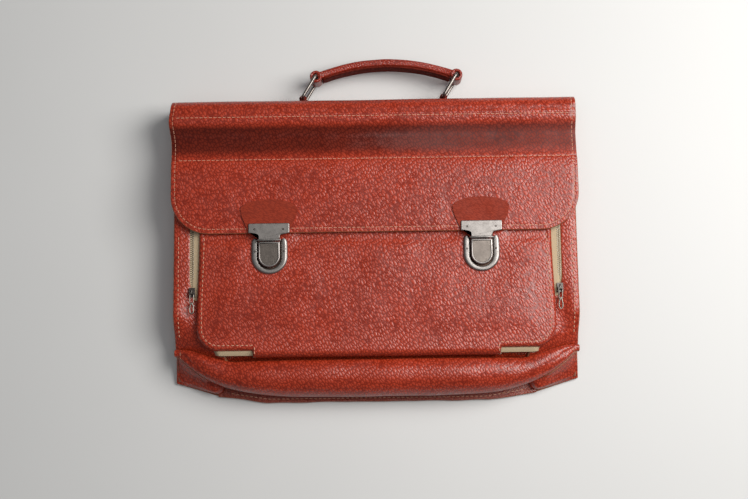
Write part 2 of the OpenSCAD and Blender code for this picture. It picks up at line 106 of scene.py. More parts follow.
TOOTH_W, TOOTH_GAP, ZIP_R = 1.3, 0.9, 30
ZIP_HALF = teeth_high[0] - TOOTH_W - TOOTH_GAP / 2
ZIP_TOP = teeth_high[1] - TOOTH_W - TOOTH_GAP / 2
ZIP_LOW = teeth_low[1] + TOOTH_W + TOOTH_GAP / 2
ZIP_END = 121
GROOVE_Y, ROLL_Y, ROLL_Z, ROLL_HALF = -113, box_mm("bottom_panel")[0][1], 19, HALF_W - 2
LOCK_X = sum(box_mm("lock_plate_right")[i][0] for i in (0, 1)) / 2
ROLL_FROM = 48  # degrees round the roll's section at which its face meets the front
FROM_COS, FROM_SIN = 0.67, 0.743
STITCH_IN = 3.7  # stitch rows lie this far inside an edge
PITCH, STITCH = 4.6, 3.2  # from stitch to stitch, and the length of one
BACK_SINK = 0.12


# ---------- number helpers ----------


FLIP = np.array([-1, 1])
SIDES = ((-1, "left"), (1, "right"))


def mix(a, b, share):
    return a * (1 - share) + b * share


def direction(degrees):
    return np.array([math.cos(math.radians(degrees)), math.sin(math.radians(degrees))])


def smooth(t):
    t = np.clip(t, 0, 1)
    return t * t * (3 - 2 * t)


def ripple(x, y, size, seed):
    """Smooth uneven waves between about -1 and 1, one bump about `size` mm long."""
    rng = np.random.default_rng(seed)
    total = 0
    for _ in range(6):
        angle, phase = rng.uniform(0, 2 * math.pi, 2)
        k = math.pi / size * rng.uniform(0.6, 1.5)
        total = total + np.sin(k * (x * math.cos(angle) + y * math.sin(angle)) + phase)
    return total / 3.4


def curve(points, step=0.5):
    """A smooth line through points, as (length so far, points)."""
    p = np.array(points, float)
    p = np.vstack([2 * p[0] - p[1], p, 2 * p[-1] - p[-2]])
    line = []
    for a, b, c, d in zip(p, p[1:], p[2:], p[3:]):
        n = max(2, int(np.linalg.norm(c - b) / step))
        t = (np.arange(n) / n)[:, None]
        line.append(b + 0.5 * t * (c - a + t * (2 * a - 5 * b + 4 * c - d + t * (3 * b - a - 3 * c + d))))
    line = np.vstack(line + [p[-2:-1]])
    return lengths(line), line


def arc(centre, r, a0, a1, n):
    """Points on an arc, angles in degrees."""
    a = np.radians(np.linspace(a0, a1, n))
    return np.stack([centre[0] + r * np.cos(a), centre[1] + r * np.sin(a)], -1)


def steps(*stops):
    """Values from (start, end, spacing) runs, without repeats."""
    runs = [np.linspace(a, b, max(2, int(round(abs(b - a) / d)) + 1)) for a, b, d in stops]
    return np.unique(np.round(np.concatenate(runs), 4))


def runs(*stops):
    """A column of values from (start, end, count) runs that join up."""
    return np.concatenate([np.linspace(a, b, n)[i > 0 :] for i, (a, b, n) in enumerate(stops)])[:, None]


def spots(x, y, z):
    """Points from coordinates that may have different shapes."""
    return np.stack(np.broadcast_arrays(x, y, z), -1)


def floats(*values):
    return [np.asarray(v, float) for v in values]


def hump(offset, width):
    """A bell curve: 1 at no offset, falling over about `width` to each side."""
    return np.exp(-((offset / width) ** 2))


def lengths(line):
    """Length along a line up to each of its points."""
    return np.concatenate([[0], np.cumsum(np.linalg.norm(np.diff(line, axis=0), axis=1))])


def at_length(at, run, line):
    """Points (x, y) at given lengths along a line."""
    return np.stack([np.interp(at, run, line[:, i]) for i in (0, 1)], -1)


def unit(v):
    return v / np.maximum(np.linalg.norm(v, axis=-1, keepdims=True), 1e-9)


# ---------- mesh helpers ----------


def make(name, points, faces, material, body=None, zones=None, slot=None, flat=False):
    """A mesh object from points in mm. zones holds shares of (cut edge, flesh side, painted shade)."""
    mesh = bpy.data.meshes.new(name)
    mesh.from_pydata((np.asarray(points, float) * MM).tolist(), [], faces)
    mesh.validate()
    mesh.polygons.foreach_set("use_smooth", [not flat] * len(mesh.polygons))
    mesh.materials.append(material)
    if zones is None:
        zones = np.zeros((len(points), 2))
    colour = np.zeros((len(points), 4), np.float32)
    colour[:, : np.shape(zones)[1]] = zones
    colour[:, 3] = 1
    mesh.color_attributes.new("zone", "FLOAT_COLOR", "POINT").data.foreach_set("color", colour.ravel())
    obj = bpy.data.objects.new(name, mesh)
    bpy.context.scene.collection.objects.link(obj)
    fix = bmesh.new()
    fix.from_mesh(mesh)
    bmesh.ops.recalc_face_normals(fix, faces=fix.faces)
    fix.to_mesh(mesh)
    fix.free()
    if body:
        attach(obj, body)
    return obj


def grid_faces(rows, cols, start=0, wrap=False):
    faces = []
    for r in range(rows - 1):
        for c in range(cols if wrap else cols - 1):
            a, b = start + r * cols + c, start + r * cols + (c + 1) % cols
            faces.append((a, b, b + cols, a + cols))
    return faces


EDGE_RINGS = [(0.85, 0.55), (0.4, 1.0), (-0.4, 1.0), (-0.85, 0.55)]


def skin(name, face, thick, material, body=None, slot=None, dark=None):
    """A sheet of leather from the grid of its outer face, with a rounded cut edge. dark is a share of painted shade
    that darkens its colour.
    """
    rows, cols = face.shape[:2]
    normal = unit(np.cross(np.gradient(face, axis=1), np.gradient(face, axis=0)))
    inner = face - thick * normal
    loop = [(0, c) for c in range(cols)] + [(r, cols - 1) for r in range(1, rows)]
    loop += [(rows - 1, c) for c in range(cols - 2, -1, -1)] + [(r, 0) for r in range(rows - 2, 0, -1)]
    at = np.array([r * cols + c for r, c in loop])
    rim, rim_n = face.reshape(-1, 3)[at], normal.reshape(-1, 3)[at]
    out = unit(np.cross(np.roll(rim, -1, 0) - np.roll(rim, 1, 0), rim_n))
    middle = rim - rim_n * thick / 2
    rings = [middle + (rim_n * a + out * b * 0.8) * thick / 2 for a, b in EDGE_RINGS]
    points = np.vstack([face.reshape(-1, 3), inner.reshape(-1, 3)] + rings)
    n, m = rows * cols, len(loop)
    faces = grid_faces(rows, cols) + [f[::-1] for f in grid_faces(rows, cols, n)]
    bands = [at] + [2 * n + k * m + np.arange(m) for k in range(4)] + [n + at]
    for a, b in zip(bands, bands[1:]):
        faces += [(int(a[i]), int(b[i]), int(b[(i + 1) % m]), int(a[(i + 1) % m])) for i in range(m)]
    zones = np.zeros((len(points), 3))
    if dark is not None:
        zones[:n, 2] = dark.ravel()
    zones[2 * n :, 0] = 1
    zones[n : 2 * n, 1] = 1
    return make(name, points, faces, material, body, zones, slot)


def tube_parts(path, radius, sides=14, closed=False):
    """Points and faces of a round bar along a path; radius may change along it."""
    path = np.asarray(path, float)
    n = len(path)
    radius = np.broadcast_to(radius, n)
    if closed:
        tangent = unit(np.roll(path, -1, 0) - np.roll(path, 1, 0))
    else:
        tangent = unit(np.gradient(path, axis=0))
    side = unit(np.cross(tangent[0], [0.31, 0.2, 0.93]))
    points = []
    for i in range(n):
        side = unit(side - tangent[i] * (side @ tangent[i]))
        up = np.cross(tangent[i], side)
        a = np.linspace(0, 2 * math.pi, sides, endpoint=False)[:, None]
        points.append(path[i] + radius[i] * (np.cos(a) * side + np.sin(a) * up))
    points = np.vstack(points)
    faces = grid_faces(n, sides, wrap=True)
    if closed:
        first = points[:sides]
        shift = int(np.argmin(np.linalg.norm(first - points[(n - 1) * sides], axis=1)))
        last = (n - 1) * sides
        for j in range(sides):
            a, b = last + j, last + (j + 1) % sides
            faces.append((a, b, (j + 1 + shift) % sides, (j + shift) % sides))
    else:
        faces += [tuple(range(sides - 1, -1, -1)), tuple(range((n - 1) * sides, n * sides))]
    return points, faces


def bar_faces(rings, around, start=0):
    """Faces of a bar made of rings of points, closed at both ends."""
    last = start + (rings - 1) * around
    ends = [tuple(range(start + around - 1, start - 1, -1)), tuple(range(last, last + around))]
    return grid_faces(rings, around, start, wrap=True) + ends


def join(parts):
    """One (points, faces) from several."""
    points, faces, start = [], [], 0
    for p, f in parts:
        points.append(p)
        faces += [tuple(int(i) + start for i in face) for face in f]
        start += len(p)
    return np.vstack(points), faces


def rod_path(a, b, radius, soft=0.35):
    """Path and radii of a straight bar with softened ends."""
    a, b = np.array(a, float), np.array(b, float)
    d = unit(b - a)
    stops = [a, a + d * soft * 0.3, a + d * soft, b - d * soft, b - d * soft * 0.3, b]
    return np.array(stops), radius - soft * np.array([1, 0.3, 0, 0, 0.3, 1])


def turn_z(points, degrees):
    a = math.radians(degrees)
    c, s = math.cos(a), math.sin(a)
    return np.asarray(points) @ np.array([[c, s, 0], [-s, c, 0], [0, 0, 1]])


def refined(node, bevel, material, segments=2, sharp=32):
    """A CAD piece with its edges rounded, which stands for the CAD node."""
    made = bmesh.new()
    made.from_mesh(frame["nodes"][node].data)
    bmesh.ops.remove_doubles(made, verts=made.verts, dist=2e-6)
    bmesh.ops.dissolve_limit(made, angle_limit=math.radians(1.0), verts=made.verts, edges=made.edges)
    edges = [e for e in made.edges if e.is_manifold and math.degrees(e.calc_face_angle(0)) > sharp]
    bmesh.ops.bevel(made, geom=edges, offset=bevel * MM, segments=segments, profile=0.6,
                    affect="EDGES", clamp_overlap=True)
    mesh = bpy.data.meshes.new(node + "_shape")
    made.to_mesh(mesh)
    made.free()
    mesh.materials.append(material)
    mesh.polygons.foreach_set("use_smooth", [True] * len(mesh.polygons))
    obj = bpy.data.objects.new(node + "_shape", mesh)
    bpy.context.scene.collection.objects.link(obj)
    weighted = obj.modifiers.new("even_normals", "WEIGHTED_NORMAL")
    weighted.keep_sharp = True
    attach(obj, frame["nodes"][node]["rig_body"])
    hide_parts(node)
    return obj


# ---------- materials ----------


def node(tree, kind, inputs=None, **props):
    made = tree.nodes.new("ShaderNode" + kind)
    for key, value in props.items():
        setattr(made, key, value)
    for key, value in (inputs or {}).items():
        socket = made.inputs[key]
        if isinstance(value, bpy.types.NodeSocket):
            tree.links.new(value, socket)
        else:
            socket.default_value = value
    return made


def start_material(name, slot, **constants):
    """A material with its constants set on the shader. Returns it with its tree, shader and object coordinates."""
    material = bpy.data.materials.new(name)
    material.use_nodes = True
    material["slot"] = slot
    tree = material.node_tree
    shader = tree.nodes["Principled BSDF"]
    for key, value in constants.items():
        shader.inputs[key.replace("_", " ")].default_value = value
    coords = node(tree, "TexCoord").outputs["Object"]
    return material, tree, shader, coords


def mapped(tree, coords, size, turn=0.0):
    """Coordinates in units of `size` mm on each axis, with the axes turned about Z."""
    return node(tree, "Mapping", {"Vector": coords, "Rotation": (0, 0, math.radians(turn)),
                                  "Scale": tuple(v * MM for v in size)}, vector_type="TEXTURE").outputs[0]


def noise(tree, vector, scale, detail=3.0, rough=0.55):
    made = node(tree, "TexNoise", {"Vector": vector, "Scale": scale, "Detail": detail, "Roughness": rough})
    return made.outputs["Fac"], made.outputs["Color"]


def ramp(tree, value, low, high, to_low=0.0, to_high=1.0):
    return node(tree, "MapRange", {"Value": value, "From Min": low, "From Max": high,
                                   "To Min": to_low, "To Max": to_high},
                interpolation_type="SMOOTHSTEP").outputs[0]


def plus(tree, *values):
    total = values[0]
    for value in values[1:]:
        total = node(tree, "Math", {0: total, 1: value}, operation="ADD").outputs[0]
    return total


def times(tree, a, b):
    return node(tree, "Math", {0: a, 1: b}, operation="MULTIPLY").outputs[0]


def darker(colour, share):
    return tuple(c * share for c in colour[:3]) + (1,)


def blend_colours(tree, factor, a, b, kind="MIX"):
    made = node(tree, "Mix", {}, data_type="RGBA", blend_type=kind)
    for index, value in ((0, factor), (6, a), (7, b)):
        if isinstance(value, bpy.types.NodeSocket):
            tree.links.new(value, made.inputs[index])
        else:
            made.inputs[index].default_value = value
    return made.outputs[2]


def bump(tree, height, distance, strength=1.0, normal=None):
    inputs = {"Height": height, "Distance": distance, "Strength": strength}
    if normal is not None:
        inputs["Normal"] = normal
    return node(tree, "Bump", inputs).outputs[0]


def leather(name, slot, base, crease, light, cell=(4.5, 2.6), turn=-58, depth=0.00024,
            edge=(0.36, 0.12, 0.06, 1), flesh=(0.20, 0.07, 0.038, 1), gloss=0.37, dull=0.30, shine=0.54):
    """Pebbled leather: oblong pebbles with painted shade in their creases and a painted highlight on their tops, uneven
    dye, a raw cut edge and a suede inner side.
    """
    material, tree, shader, coords = start_material(
        name, slot, Specular_IOR_Level=shine)
    space = mapped(tree, coords, (cell[0], cell[1], cell[0] * 0.8), turn)
    wobble = noise(tree, coords, 150, 1)[1]
    offset = node(tree, "VectorMath", {0: wobble, 1: (0.6, 0.6, 0.6)}, operation="MULTIPLY").outputs[0]
    space = node(tree, "VectorMath", {0: space, 1: offset}, operation="ADD").outputs[0]
    pattern = {"Vector": space, "Scale": 1.0, "Randomness": 0.72}
    edges = node(tree, "TexVoronoi", pattern, feature="DISTANCE_TO_EDGE").outputs["Distance"]
    cells = node(tree, "TexVoronoi", pattern, feature="F1")
    tone = node(tree, "SeparateColor", {"Color": cells.outputs["Color"]}).outputs[0]
    pebble = ramp(tree, edges, 0.0, 0.2)
    mound = ramp(tree, edges, 0.0, 0.42)
    dome = ramp(tree, cells.outputs["Distance"], 0.75, 0.0)
    pores = noise(tree, coords, 2600, 2)[0]
    broad = noise(tree, coords, 22, 3)[0]
    mid = noise(tree, coords, 75, 2)[0]
    height = plus(tree, times(tree, mound, 0.6), times(tree, dome, 0.5), times(tree, tone, 0.08),
                  times(tree, pores, 0.025))
    zone = node(tree, "Attribute", attribute_name="zone")
    # The zone's third share is painted shade: it darkens the colour, flattens the grain and changes the roughness.
    cut_edge, flesh_side, painted_shade = node(tree, "SeparateColor", {"Color": zone.outputs["Color"]}).outputs[:3]
    relief = ramp(tree, painted_shade, 0.0, 0.8, 1.0, 0.12)
    height = times(tree, height, relief)
    # Painted shade and highlight: the crease colour fills the grain's creases as painted shade, and up to 40% of the
    # light colour on the pebble tops is a painted highlight.
    colour = blend_colours(tree, pebble, crease, base)
    colour = blend_colours(tree, ramp(tree, pebble, 0.5, 1.0, 0, 0.4), colour, light)
    uneven = ramp(tree, broad, 0.35, 0.68, 0.93, 1.06)
    # Painted shade: the colour falls to 30% where the zone's painted shade share is full.
    uneven = times(tree, uneven, ramp(tree, painted_shade, 0.0, 1.0, 1.0, 0.30))
    grey = node(tree, "CombineColor", {0: uneven, 1: uneven, 2: uneven}).outputs[0]
    colour = blend_colours(tree, 1.0, colour, grey, "MULTIPLY")
    flesh_colour = blend_colours(tree, noise(tree, coords, 900, 4)[0], flesh, darker(flesh, 0.6))
    edge_colour = blend_colours(tree, noise(tree, coords, 500, 3)[0], edge, darker(edge, 0.55))
    colour = blend_colours(tree, flesh_side, colour, flesh_colour)
    colour = blend_colours(tree, ramp(tree, cut_edge, 0.3, 0.9), colour, edge_colour)
    tree.links.new(colour, shader.inputs["Base Color"])
    rough = ramp(tree, pebble, 0.0, 1.0, dull, gloss)
    across = node(tree, "SeparateXYZ", {"Vector": coords}).outputs[0]
    rough = plus(tree, rough, ramp(tree, mid, 0.3, 0.7, -0.05, 0.07), times(tree, flesh_side, 0.4),
                 times(tree, painted_shade, ramp(tree, across, -0.05, 0.1, -0.19, 0.5)))
    tree.links.new(rough, shader.inputs["Roughness"])
    soft = bump(tree, times(tree, mid, relief), 0.0011, 0.32)
    tree.links.new(bump(tree, height, depth, 1.0, soft), shader.inputs["Normal"])
    return material


def metal(name, slot, colour, rough, brushed=None, tarnish=(0.14, 0.115, 0.10, 1)):
    """Worn plated metal with fine scratches; brushed gives the scale of its brushing on each axis."""
    material, tree, shader, coords = start_material(name, slot, Metallic=1.0)
    cloud = noise(tree, coords, 180, 4)[0]
    stain = ramp(tree, noise(tree, coords, 420, 5, 0.7)[0], 0.52, 0.75, 0, 0.55)
    lines = noise(tree, mapped(tree, coords, brushed or (1.1, 0.35, 1.1), 0 if brushed else 25), 1.0, 3)[0]
    tone = blend_colours(tree, ramp(tree, cloud, 0.3, 0.7), colour, darker(colour, 0.8))
    tree.links.new(blend_colours(tree, stain, tone, tarnish), shader.inputs["Base Color"])
    tree.links.new(plus(tree, ramp(tree, lines, 0.3, 0.7, rough - 0.05, rough + 0.05),
                         times(tree, stain, 0.25)), shader.inputs["Roughness"])
    tree.links.new(bump(tree, lines, 0.00006 if brushed else 0.00003, 0.6), shader.inputs["Normal"])
    return material


def woven(name, slot, light, dark, pitch, rough=0.85):
    """Plain woven tape or thread: crossing ribs at the given pitch in mm."""
    material, tree, shader, coords = start_material(name, slot, Sheen_Weight=0.15, Specular_IOR_Level=0.3)
    ribs = []
    for turn in (45, -45):
        wave = node(tree, "TexWave", {"Vector": mapped(tree, coords, (pitch,) * 3, turn), "Scale": 0.32,
                                      "Distortion": 0.4, "Detail": 1.0}, wave_type="BANDS", bands_direction="X")
        ribs.append(wave.outputs["Fac"])
    weave = times(tree, ribs[0], ribs[1])
    fuzz = noise(tree, coords, 1800, 3)[0]
    colour = blend_colours(tree, weave, dark, light)
    colour = blend_colours(tree, ramp(tree, noise(tree, coords, 60, 3)[0], 0.5, 0.8, 0, 0.35), colour, dark)
    tree.links.new(colour, shader.inputs["Base Color"])
    tree.links.new(ramp(tree, fuzz, 0.2, 0.8, rough - 0.1, rough + 0.1), shader.inputs["Roughness"])
    height = plus(tree, weave, times(tree, fuzz, 0.3))
    tree.links.new(bump(tree, height, 0.00012, 0.8), shader.inputs["Normal"])
    return material


def board(name, slot, light, dark, rough=0.9):
    """Fibre board or suede: short felted fibres."""
    material, tree, shader, coords = start_material(name, slot, Sheen_Weight=0.25, Specular_IOR_Level=0.25)
    nap = noise(tree, coords, 1400, 4)[0]
    patches = noise(tree, coords, 45, 3)[0]
    colour = blend_colours(tree, times(tree, plus(tree, nap, patches), 0.5), dark, light)
    tree.links.new(colour, shader.inputs["Base Color"])
    tree.links.new(ramp(tree, nap, 0.2, 0.8, rough - 0.08, rough + 0.08), shader.inputs["Roughness"])
    tree.links.new(bump(tree, nap, 0.00015, 0.7), shader.inputs["Normal"])
    return material


# Each leather's second colour is the painted shade in its creases, and its third is the painted highlight on its pebble
# tops.
TERRACOTTA = (0.385, 0.036, 0.012, 1)
hide = leather("pebbled_terracotta_leather", "grained_leather", TERRACOTTA,
               (0.20, 0.015, 0.005, 1), (0.42, 0.043, 0.016, 1))
fine_hide = leather("smooth_terracotta_leather", "smooth_leather", (0.25, 0.024, 0.007, 1),
                    (0.19, 0.018, 0.006, 1), (0.29, 0.032, 0.011, 1), cell=(5.5, 1.4), turn=-24, depth=0.00004,
                    gloss=0.62, dull=0.7, shine=0.25)
grip_hide = leather("glossy_grip_leather", "grained_leather", (0.30, 0.026, 0.012, 1),
                    (0.13, 0.011, 0.005, 1), (0.38, 0.045, 0.022, 1), cell=(2.6, 1.9), turn=20, gloss=0.30)
palm_hide = leather("worn_palm_leather", "worn_leather", (0.15, 0.018, 0.010, 1),
                    (0.06, 0.007, 0.004, 1), (0.21, 0.032, 0.020, 1), cell=(1.8, 1.3), depth=0.00012, gloss=0.8,
                    edge=(0.10, 0.03, 0.02, 1), dull=0.85, shine=0.06)
worn_hide = leather("worn_binding_leather", "worn_leather", (0.30, 0.045, 0.02, 1),
                    (0.13, 0.016, 0.009, 1), (0.42, 0.11, 0.07, 1), cell=(1.8, 1.2), depth=0.0002)
suede = board("tan_suede", "suede_lining", (0.33, 0.16, 0.085, 1), (0.18, 0.08, 0.042, 1))
fibre = board("brown_fibre_board", "fibre_board", (0.20, 0.12, 0.07, 1), (0.10, 0.055, 0.03, 1), 0.85)
tape = woven("beige_zip_tape", "zip_tape", (0.64, 0.51, 0.33, 1), (0.40, 0.30, 0.19, 1), 0.9)
thread = woven("tan_thread", "grained_leather", (0.78, 0.46, 0.31, 1), (0.56, 0.27, 0.17, 1), 0.45)
nickel = metal("aged_nickel_plate", "aged_nickel", (0.40, 0.37, 0.35, 1), 0.46)
# Near-black pin heads: painted shade, so that they read as holes.
hole_shade_nickel = metal("pin_hole_shade_nickel", "aged_nickel", (0.07, 0.05, 0.045, 1), 0.5)
ring_nickel = metal("rubbed_ring_nickel", "aged_nickel", (0.26, 0.23, 0.21, 1), 0.36)
button_metal = metal("brushed_nickel_plate", "brushed_nickel", (0.25, 0.215, 0.19, 1), 0.44, (0.2, 4.0, 1.0))
zip_metal = metal("dull_zip_metal", "zip_metal", (0.34, 0.31, 0.27, 1), 0.42)
slider_metal = metal("dark_slider_metal", "zip_metal", (0.15, 0.13, 0.12, 1), 0.45)
dark_steel = metal("dark_lock_case", "lock_steel", (0.10, 0.065, 0.05, 1), 0.5)
steel = metal("plain_pressed_steel", "lock_steel", (0.38, 0.38, 0.38, 1), 0.42)

KEPT = {"handle_stiffener": fibre, "handle_core": fibre, "zip_stops": zip_metal}
for label in ("left", "right"):
    KEPT.update({"lock_case_" + label: dark_steel, "lock_spring_" + label: steel, "hasp_backing_" + label: steel})
for name, finish in KEPT.items():
    data = frame["nodes"][name].data
    data.materials.clear()
    data.materials.append(finish)


# ---------- stitches ----------


def stitch_parts(surface, path, pitch=PITCH, length=STITCH, radius=0.46):
    """Arched stitches along a path of surface parameters, as (points, faces)."""
    path = np.array(path, float)
    fine = np.concatenate([np.linspace(a, b, 24, endpoint=False) for a, b in zip(path, path[1:])] + [path[-1:]])
    line = surface(fine[:, 0], fine[:, 1])
    run = lengths(line)
    count = max(1, int(round(run[-1] / pitch)))
    middles = (np.arange(count) + 0.5) * run[-1] / count

    def at(r, da=0.0, db=0.0):
        return surface(np.interp(r, run, fine[:, 0]) + da, np.interp(r, run, fine[:, 1]) + db)

    step = 0.3
    normal = unit(np.cross(at(middles, step) - at(middles, -step), at(middles, 0, step) - at(middles, 0, -step)))
    along = unit(at(middles + length / 2) - at(middles - length / 2))
    side = np.cross(along, normal)
    turn = np.linspace(0, 2 * math.pi, 6, endpoint=False)
    rings = []
    for k in (-0.5, -0.42, -0.2, 0.2, 0.42, 0.5):
        r = radius * (1 - 0.75 * abs(2 * k) ** 5)
        lift = 0.30 - 0.75 * abs(2 * k) ** 4
        centre = at(middles + k * length) + normal * lift
        rings.append(centre[:, None] + r * (np.cos(turn)[None, :, None] * normal[:, None]
                                            + np.sin(turn)[None, :, None] * side[:, None]))
    points = np.stack(rings, 1).reshape(-1, 3)
    faces = []
    for i in range(count):
        faces += bar_faces(6, 6, i * 36)
    return points, faces


def sew(name, rows, body=None):
    """One object from several stitch rows."""
    points, faces = join([stitch_parts(*row) for row in rows])
    return make(name, points, faces, thread, body, slot="grained_leather")


def grid(surface, a, b):
    return surface(*np.broadcast_arrays(a, b))


# ---------- cover: rolled top and flap in one hide ----------

top_centre = (TOP_Y - TOP_R, SPINE_Z - TOP_R)
ROW_1_Y, ROW_2_Y = FOLD_Y - 0.6, LINING_Y + 4.5
cover_points = [(TOP_Y, HIDE + 0.2), (TOP_Y, 10), (TOP_Y, 20), (TOP_Y, 30)]
cover_points += arc(top_centre, TOP_R, 0, 95, 9).tolist()
cover_points += [(133.6, 49.5), (129.0, 49.3), (124.5, 47.9), (120, 45.2), (116, 43.1), (112.5, 42.2), (108.5, 42.6),
                 (100, 43.7), (94, 45.0), (88.5, 46.4), (84, 47.1), (78, 47.6), (70, 47.9), (62, 48.2), (54, FLAP_Z),
                 (40, FLAP_Z), (25, FLAP_Z), (FLAP_Y, FLAP_Z)]
cover_s, cover_line = curve(cover_points)
COVER_END = cover_s[-1]


def cover_at_y(y):
    """Length down the cover at a distance from the centre line, for its front part."""
    front = cover_line[:, 1] > 41
    return np.interp(-np.asarray(y, float), -cover_line[front, 0], cover_s[front])


ROW_1, ROW_2 = float(cover_at_y(ROW_1_Y)), float(cover_at_y(ROW_2_Y))


def flap_edge_distance(x, y):
    """How far inside the flap's edge a point is."""
    qx, qy = abs(x) - (FLAP_HALF - FLAP_R), (FLAP_Y + FLAP_R) - y
    in_corner = (qx > 0) & (qy > 0)
    return np.where(in_corner, FLAP_R - np.hypot(qx, qy), np.minimum(FLAP_HALF - abs(x), y - FLAP_Y))


def lock_mask(x, y, low, high, half):
    """0 where a lock piece lies flat on the leather, 1 away from it."""
    dx = abs(abs(x) - LOCK_X) - half
    dy = np.maximum(low - y, y - high)
    return smooth(np.maximum(dx, dy) / 14)


def cover(x, s):
    x, s = floats(x, s)
    y, z = np.interp(s, cover_s, cover_line[:, 0]), np.interp(s, cover_s, cover_line[:, 1])
    valley = smooth((s - ROW_1 - 2) / 14) * smooth((ROW_2 - 3 - s) / 12)
    middle = 1 - (x / HALF_W) ** 2
    z = z - valley * (0.2 * middle + 0.5 * ripple(x, s * 2.2, 60, 3))
    open_part = smooth((s - ROW_2) / 12) * lock_mask(x, y, 16, 48, 29)
    z = z + open_part * (0.28 + 0.28 * ripple(x, s, 55, 5)) * smooth((COVER_END - s) / 14)
    edge = flap_edge_distance(x, np.where(s > ROW_2, y, FLAP_Y + FLAP_R + 1))
    on_top = smooth((s - 44) / 10)
    z = z - on_top * 0.9 * smooth((7 - edge) / 7) ** 2 * np.where(s > ROW_2, 0.35, 1)
    groove = 0.42 * hump(s - ROW_1, 1.1) + 0.32 * hump(s - ROW_2, 1.0)
    groove = groove + 0.3 * hump(edge - STITCH_IN, 0.9)
    z = z - on_top * groove
    roll = smooth(s / 30) * smooth((ROW_1 - s) / 10)
    y = y - (1 - on_top) * 0.3 * hump(edge - STITCH_IN, 0.9) + 0.25 * roll * ripple(x, s * 1.5, 70, 9)
    x = x - 2.6 * smooth((-x - 140) / 60) * hump(y - 126, 15) * smooth((s - 30) / 20)
    return spots(x, y, z)


def cover_half(s):
    """Half width of the cover at a length down it."""
    into = np.clip((s - (COVER_END - FLAP_R)) / FLAP_R, 0, 1)
    return FLAP_HALF - FLAP_R + FLAP_R * np.sqrt(1 - into**2)


corner_s = COVER_END - FLAP_R + FLAP_R * np.sin(np.radians(np.linspace(0, 90, 22)))
rows_s = np.unique(np.round(np.concatenate([
    steps((0.8, ROW_1 - 3, 2.2), (ROW_1 - 3, ROW_1 + 3, 0.6), (ROW_1 + 3, ROW_2 - 3, 2.0),
          (ROW_2 - 3, ROW_2 + 3, 0.6), (ROW_2 + 3, COVER_END - FLAP_R, 2.4)), corner_s[:-2],
    [COVER_END - 0.06 * k for k in (8, 0)]]), 3))
cols_a = steps((-1, -0.93, 0.005), (-0.93, 0.93, 0.0125), (0.93, 1, 0.005))
cover_grid = grid(cover, cols_a[None, :] * (cover_half(rows_s)[:, None] - 0.4), rows_s[:, None])
down = cover_grid[..., 1]
# Painted shade for the dip below the rolled top: darker in colour there, a little more on the left side.
valley_shade = smooth((127 - down) / 9) * smooth((down - 86) / 17) * smooth((rows_s[:, None] - 50) / 10)
valley_shade = valley_shade * (0.85 - 0.15 * cover_grid[..., 0] / HALF_W)
cover_piece = skin("cover_leather", cover_grid[:, ::-1], HIDE - 0.1, hide, slot="grained_leather", dark=valley_shade[:, ::-1])
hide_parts("top_spine", "flap")

lining_low, lining_high = box_mm("flap_lining")
lining_s = steps((float(cover_at_y(LINING_Y)), float(cover_at_y(lining_low[1])), 3))
lining_x = steps((lining_low[0], -160, 2), (-160, 160, 8), (160, lining_high[0], 2))
lining_in = np.clip((lining_s - (lining_s[-1] - FLAP_R)) / FLAP_R, 0, 1)
lining_share = (lining_high[0] - 0.8 - FLAP_R * (1 - np.sqrt(1 - lining_in**2))) / lining_high[0]
lining_grid = grid(cover, lining_x[None, :] * lining_share[:, None], lining_s[:, None]) - np.array([0, 0, HIDE + 0.05])
lining_piece = skin("flap_lining_suede", lining_grid[:, ::-1], lining_high[2] - lining_low[2], suede, "flap",
                    "suede_lining")
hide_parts("flap_lining")

inset = FLAP_HALF - STITCH_IN
low_turn = arc((inset - (FLAP_R - STITCH_IN), COVER_END - FLAP_R), FLAP_R - STITCH_IN, 0, 90, 10)
left_side = [(-inset, 3.0), (-inset, 60), (-inset, COVER_END - FLAP_R)]
edge_path = left_side + [(-x, s) for x, s in low_turn] + [(x, s) for x, s in low_turn[::-1]]
edge_path += [(x * -1, s) for x, s in left_side[::-1]]
cover_thread = sew("cover_stitches", [
    (cover, edge_path),
    (cover, [(-inset + 3, ROW_1), (inset - 3, ROW_1)]),
    (cover, [(-inset + 3, ROW_2), (inset - 3, ROW_2)]),
])
for piece in (cover_piece, cover_thread):
    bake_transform(piece)


# ---------- front, margin and pocket ----------


def corner_drop(x, y):
    """How far the front is pulled down towards the pinched lower corners."""
    return 15 * smooth((abs(x) - 174) / 26) * smooth((-62 - y) / 34)


def flare(y):
    """How much wider the front gets towards the roll."""
    return 0.4 * smooth((20 - y) / 110)


def roll_top(t):
    return GROOVE_Y + 15 * smooth((t - 0.69) / 0.31)


def roll_low(t):
    return ROLL_Y + 43 * t**5


def roll_radius(t):
    return np.maximum(4, (roll_top(t) - roll_low(t)) / 1.5)


def roll_circle(t):
    """Radius and centre (y, z) of the roll's section; t runs from 0 in the middle to 1 at an end."""
    r = roll_radius(t)
    return r, roll_top(t) - r / 2, ROLL_Z + 3 * t**4


def dive(x, y, z):
    """Lower z where the leather runs down into the groove above the roll, near the corners."""
    t = np.minimum(abs(x) / ROLL_HALF, 1)
    r, cy, cz = roll_circle(t)
    limit = cz + FROM_SIN * r - 2.4 + 0.8 * (y - roll_top(t) - (FROM_COS - 0.5) * r)
    share = np.clip(0.5 + (limit - z) / 8, 0, 1)
    return limit * (1 - share) + z * share - 4 * share * (1 - share)


def front(x, y):
    x, y = floats(x, y)
    wide = x * (1 + flare(y) / FRONT_HALF * smooth(abs(x) / FRONT_HALF))
    z = dive(x, y, RIM_Z - corner_drop(x, y)) - RIM_Z + FRONT_Z
    return spots(wide, y, z)


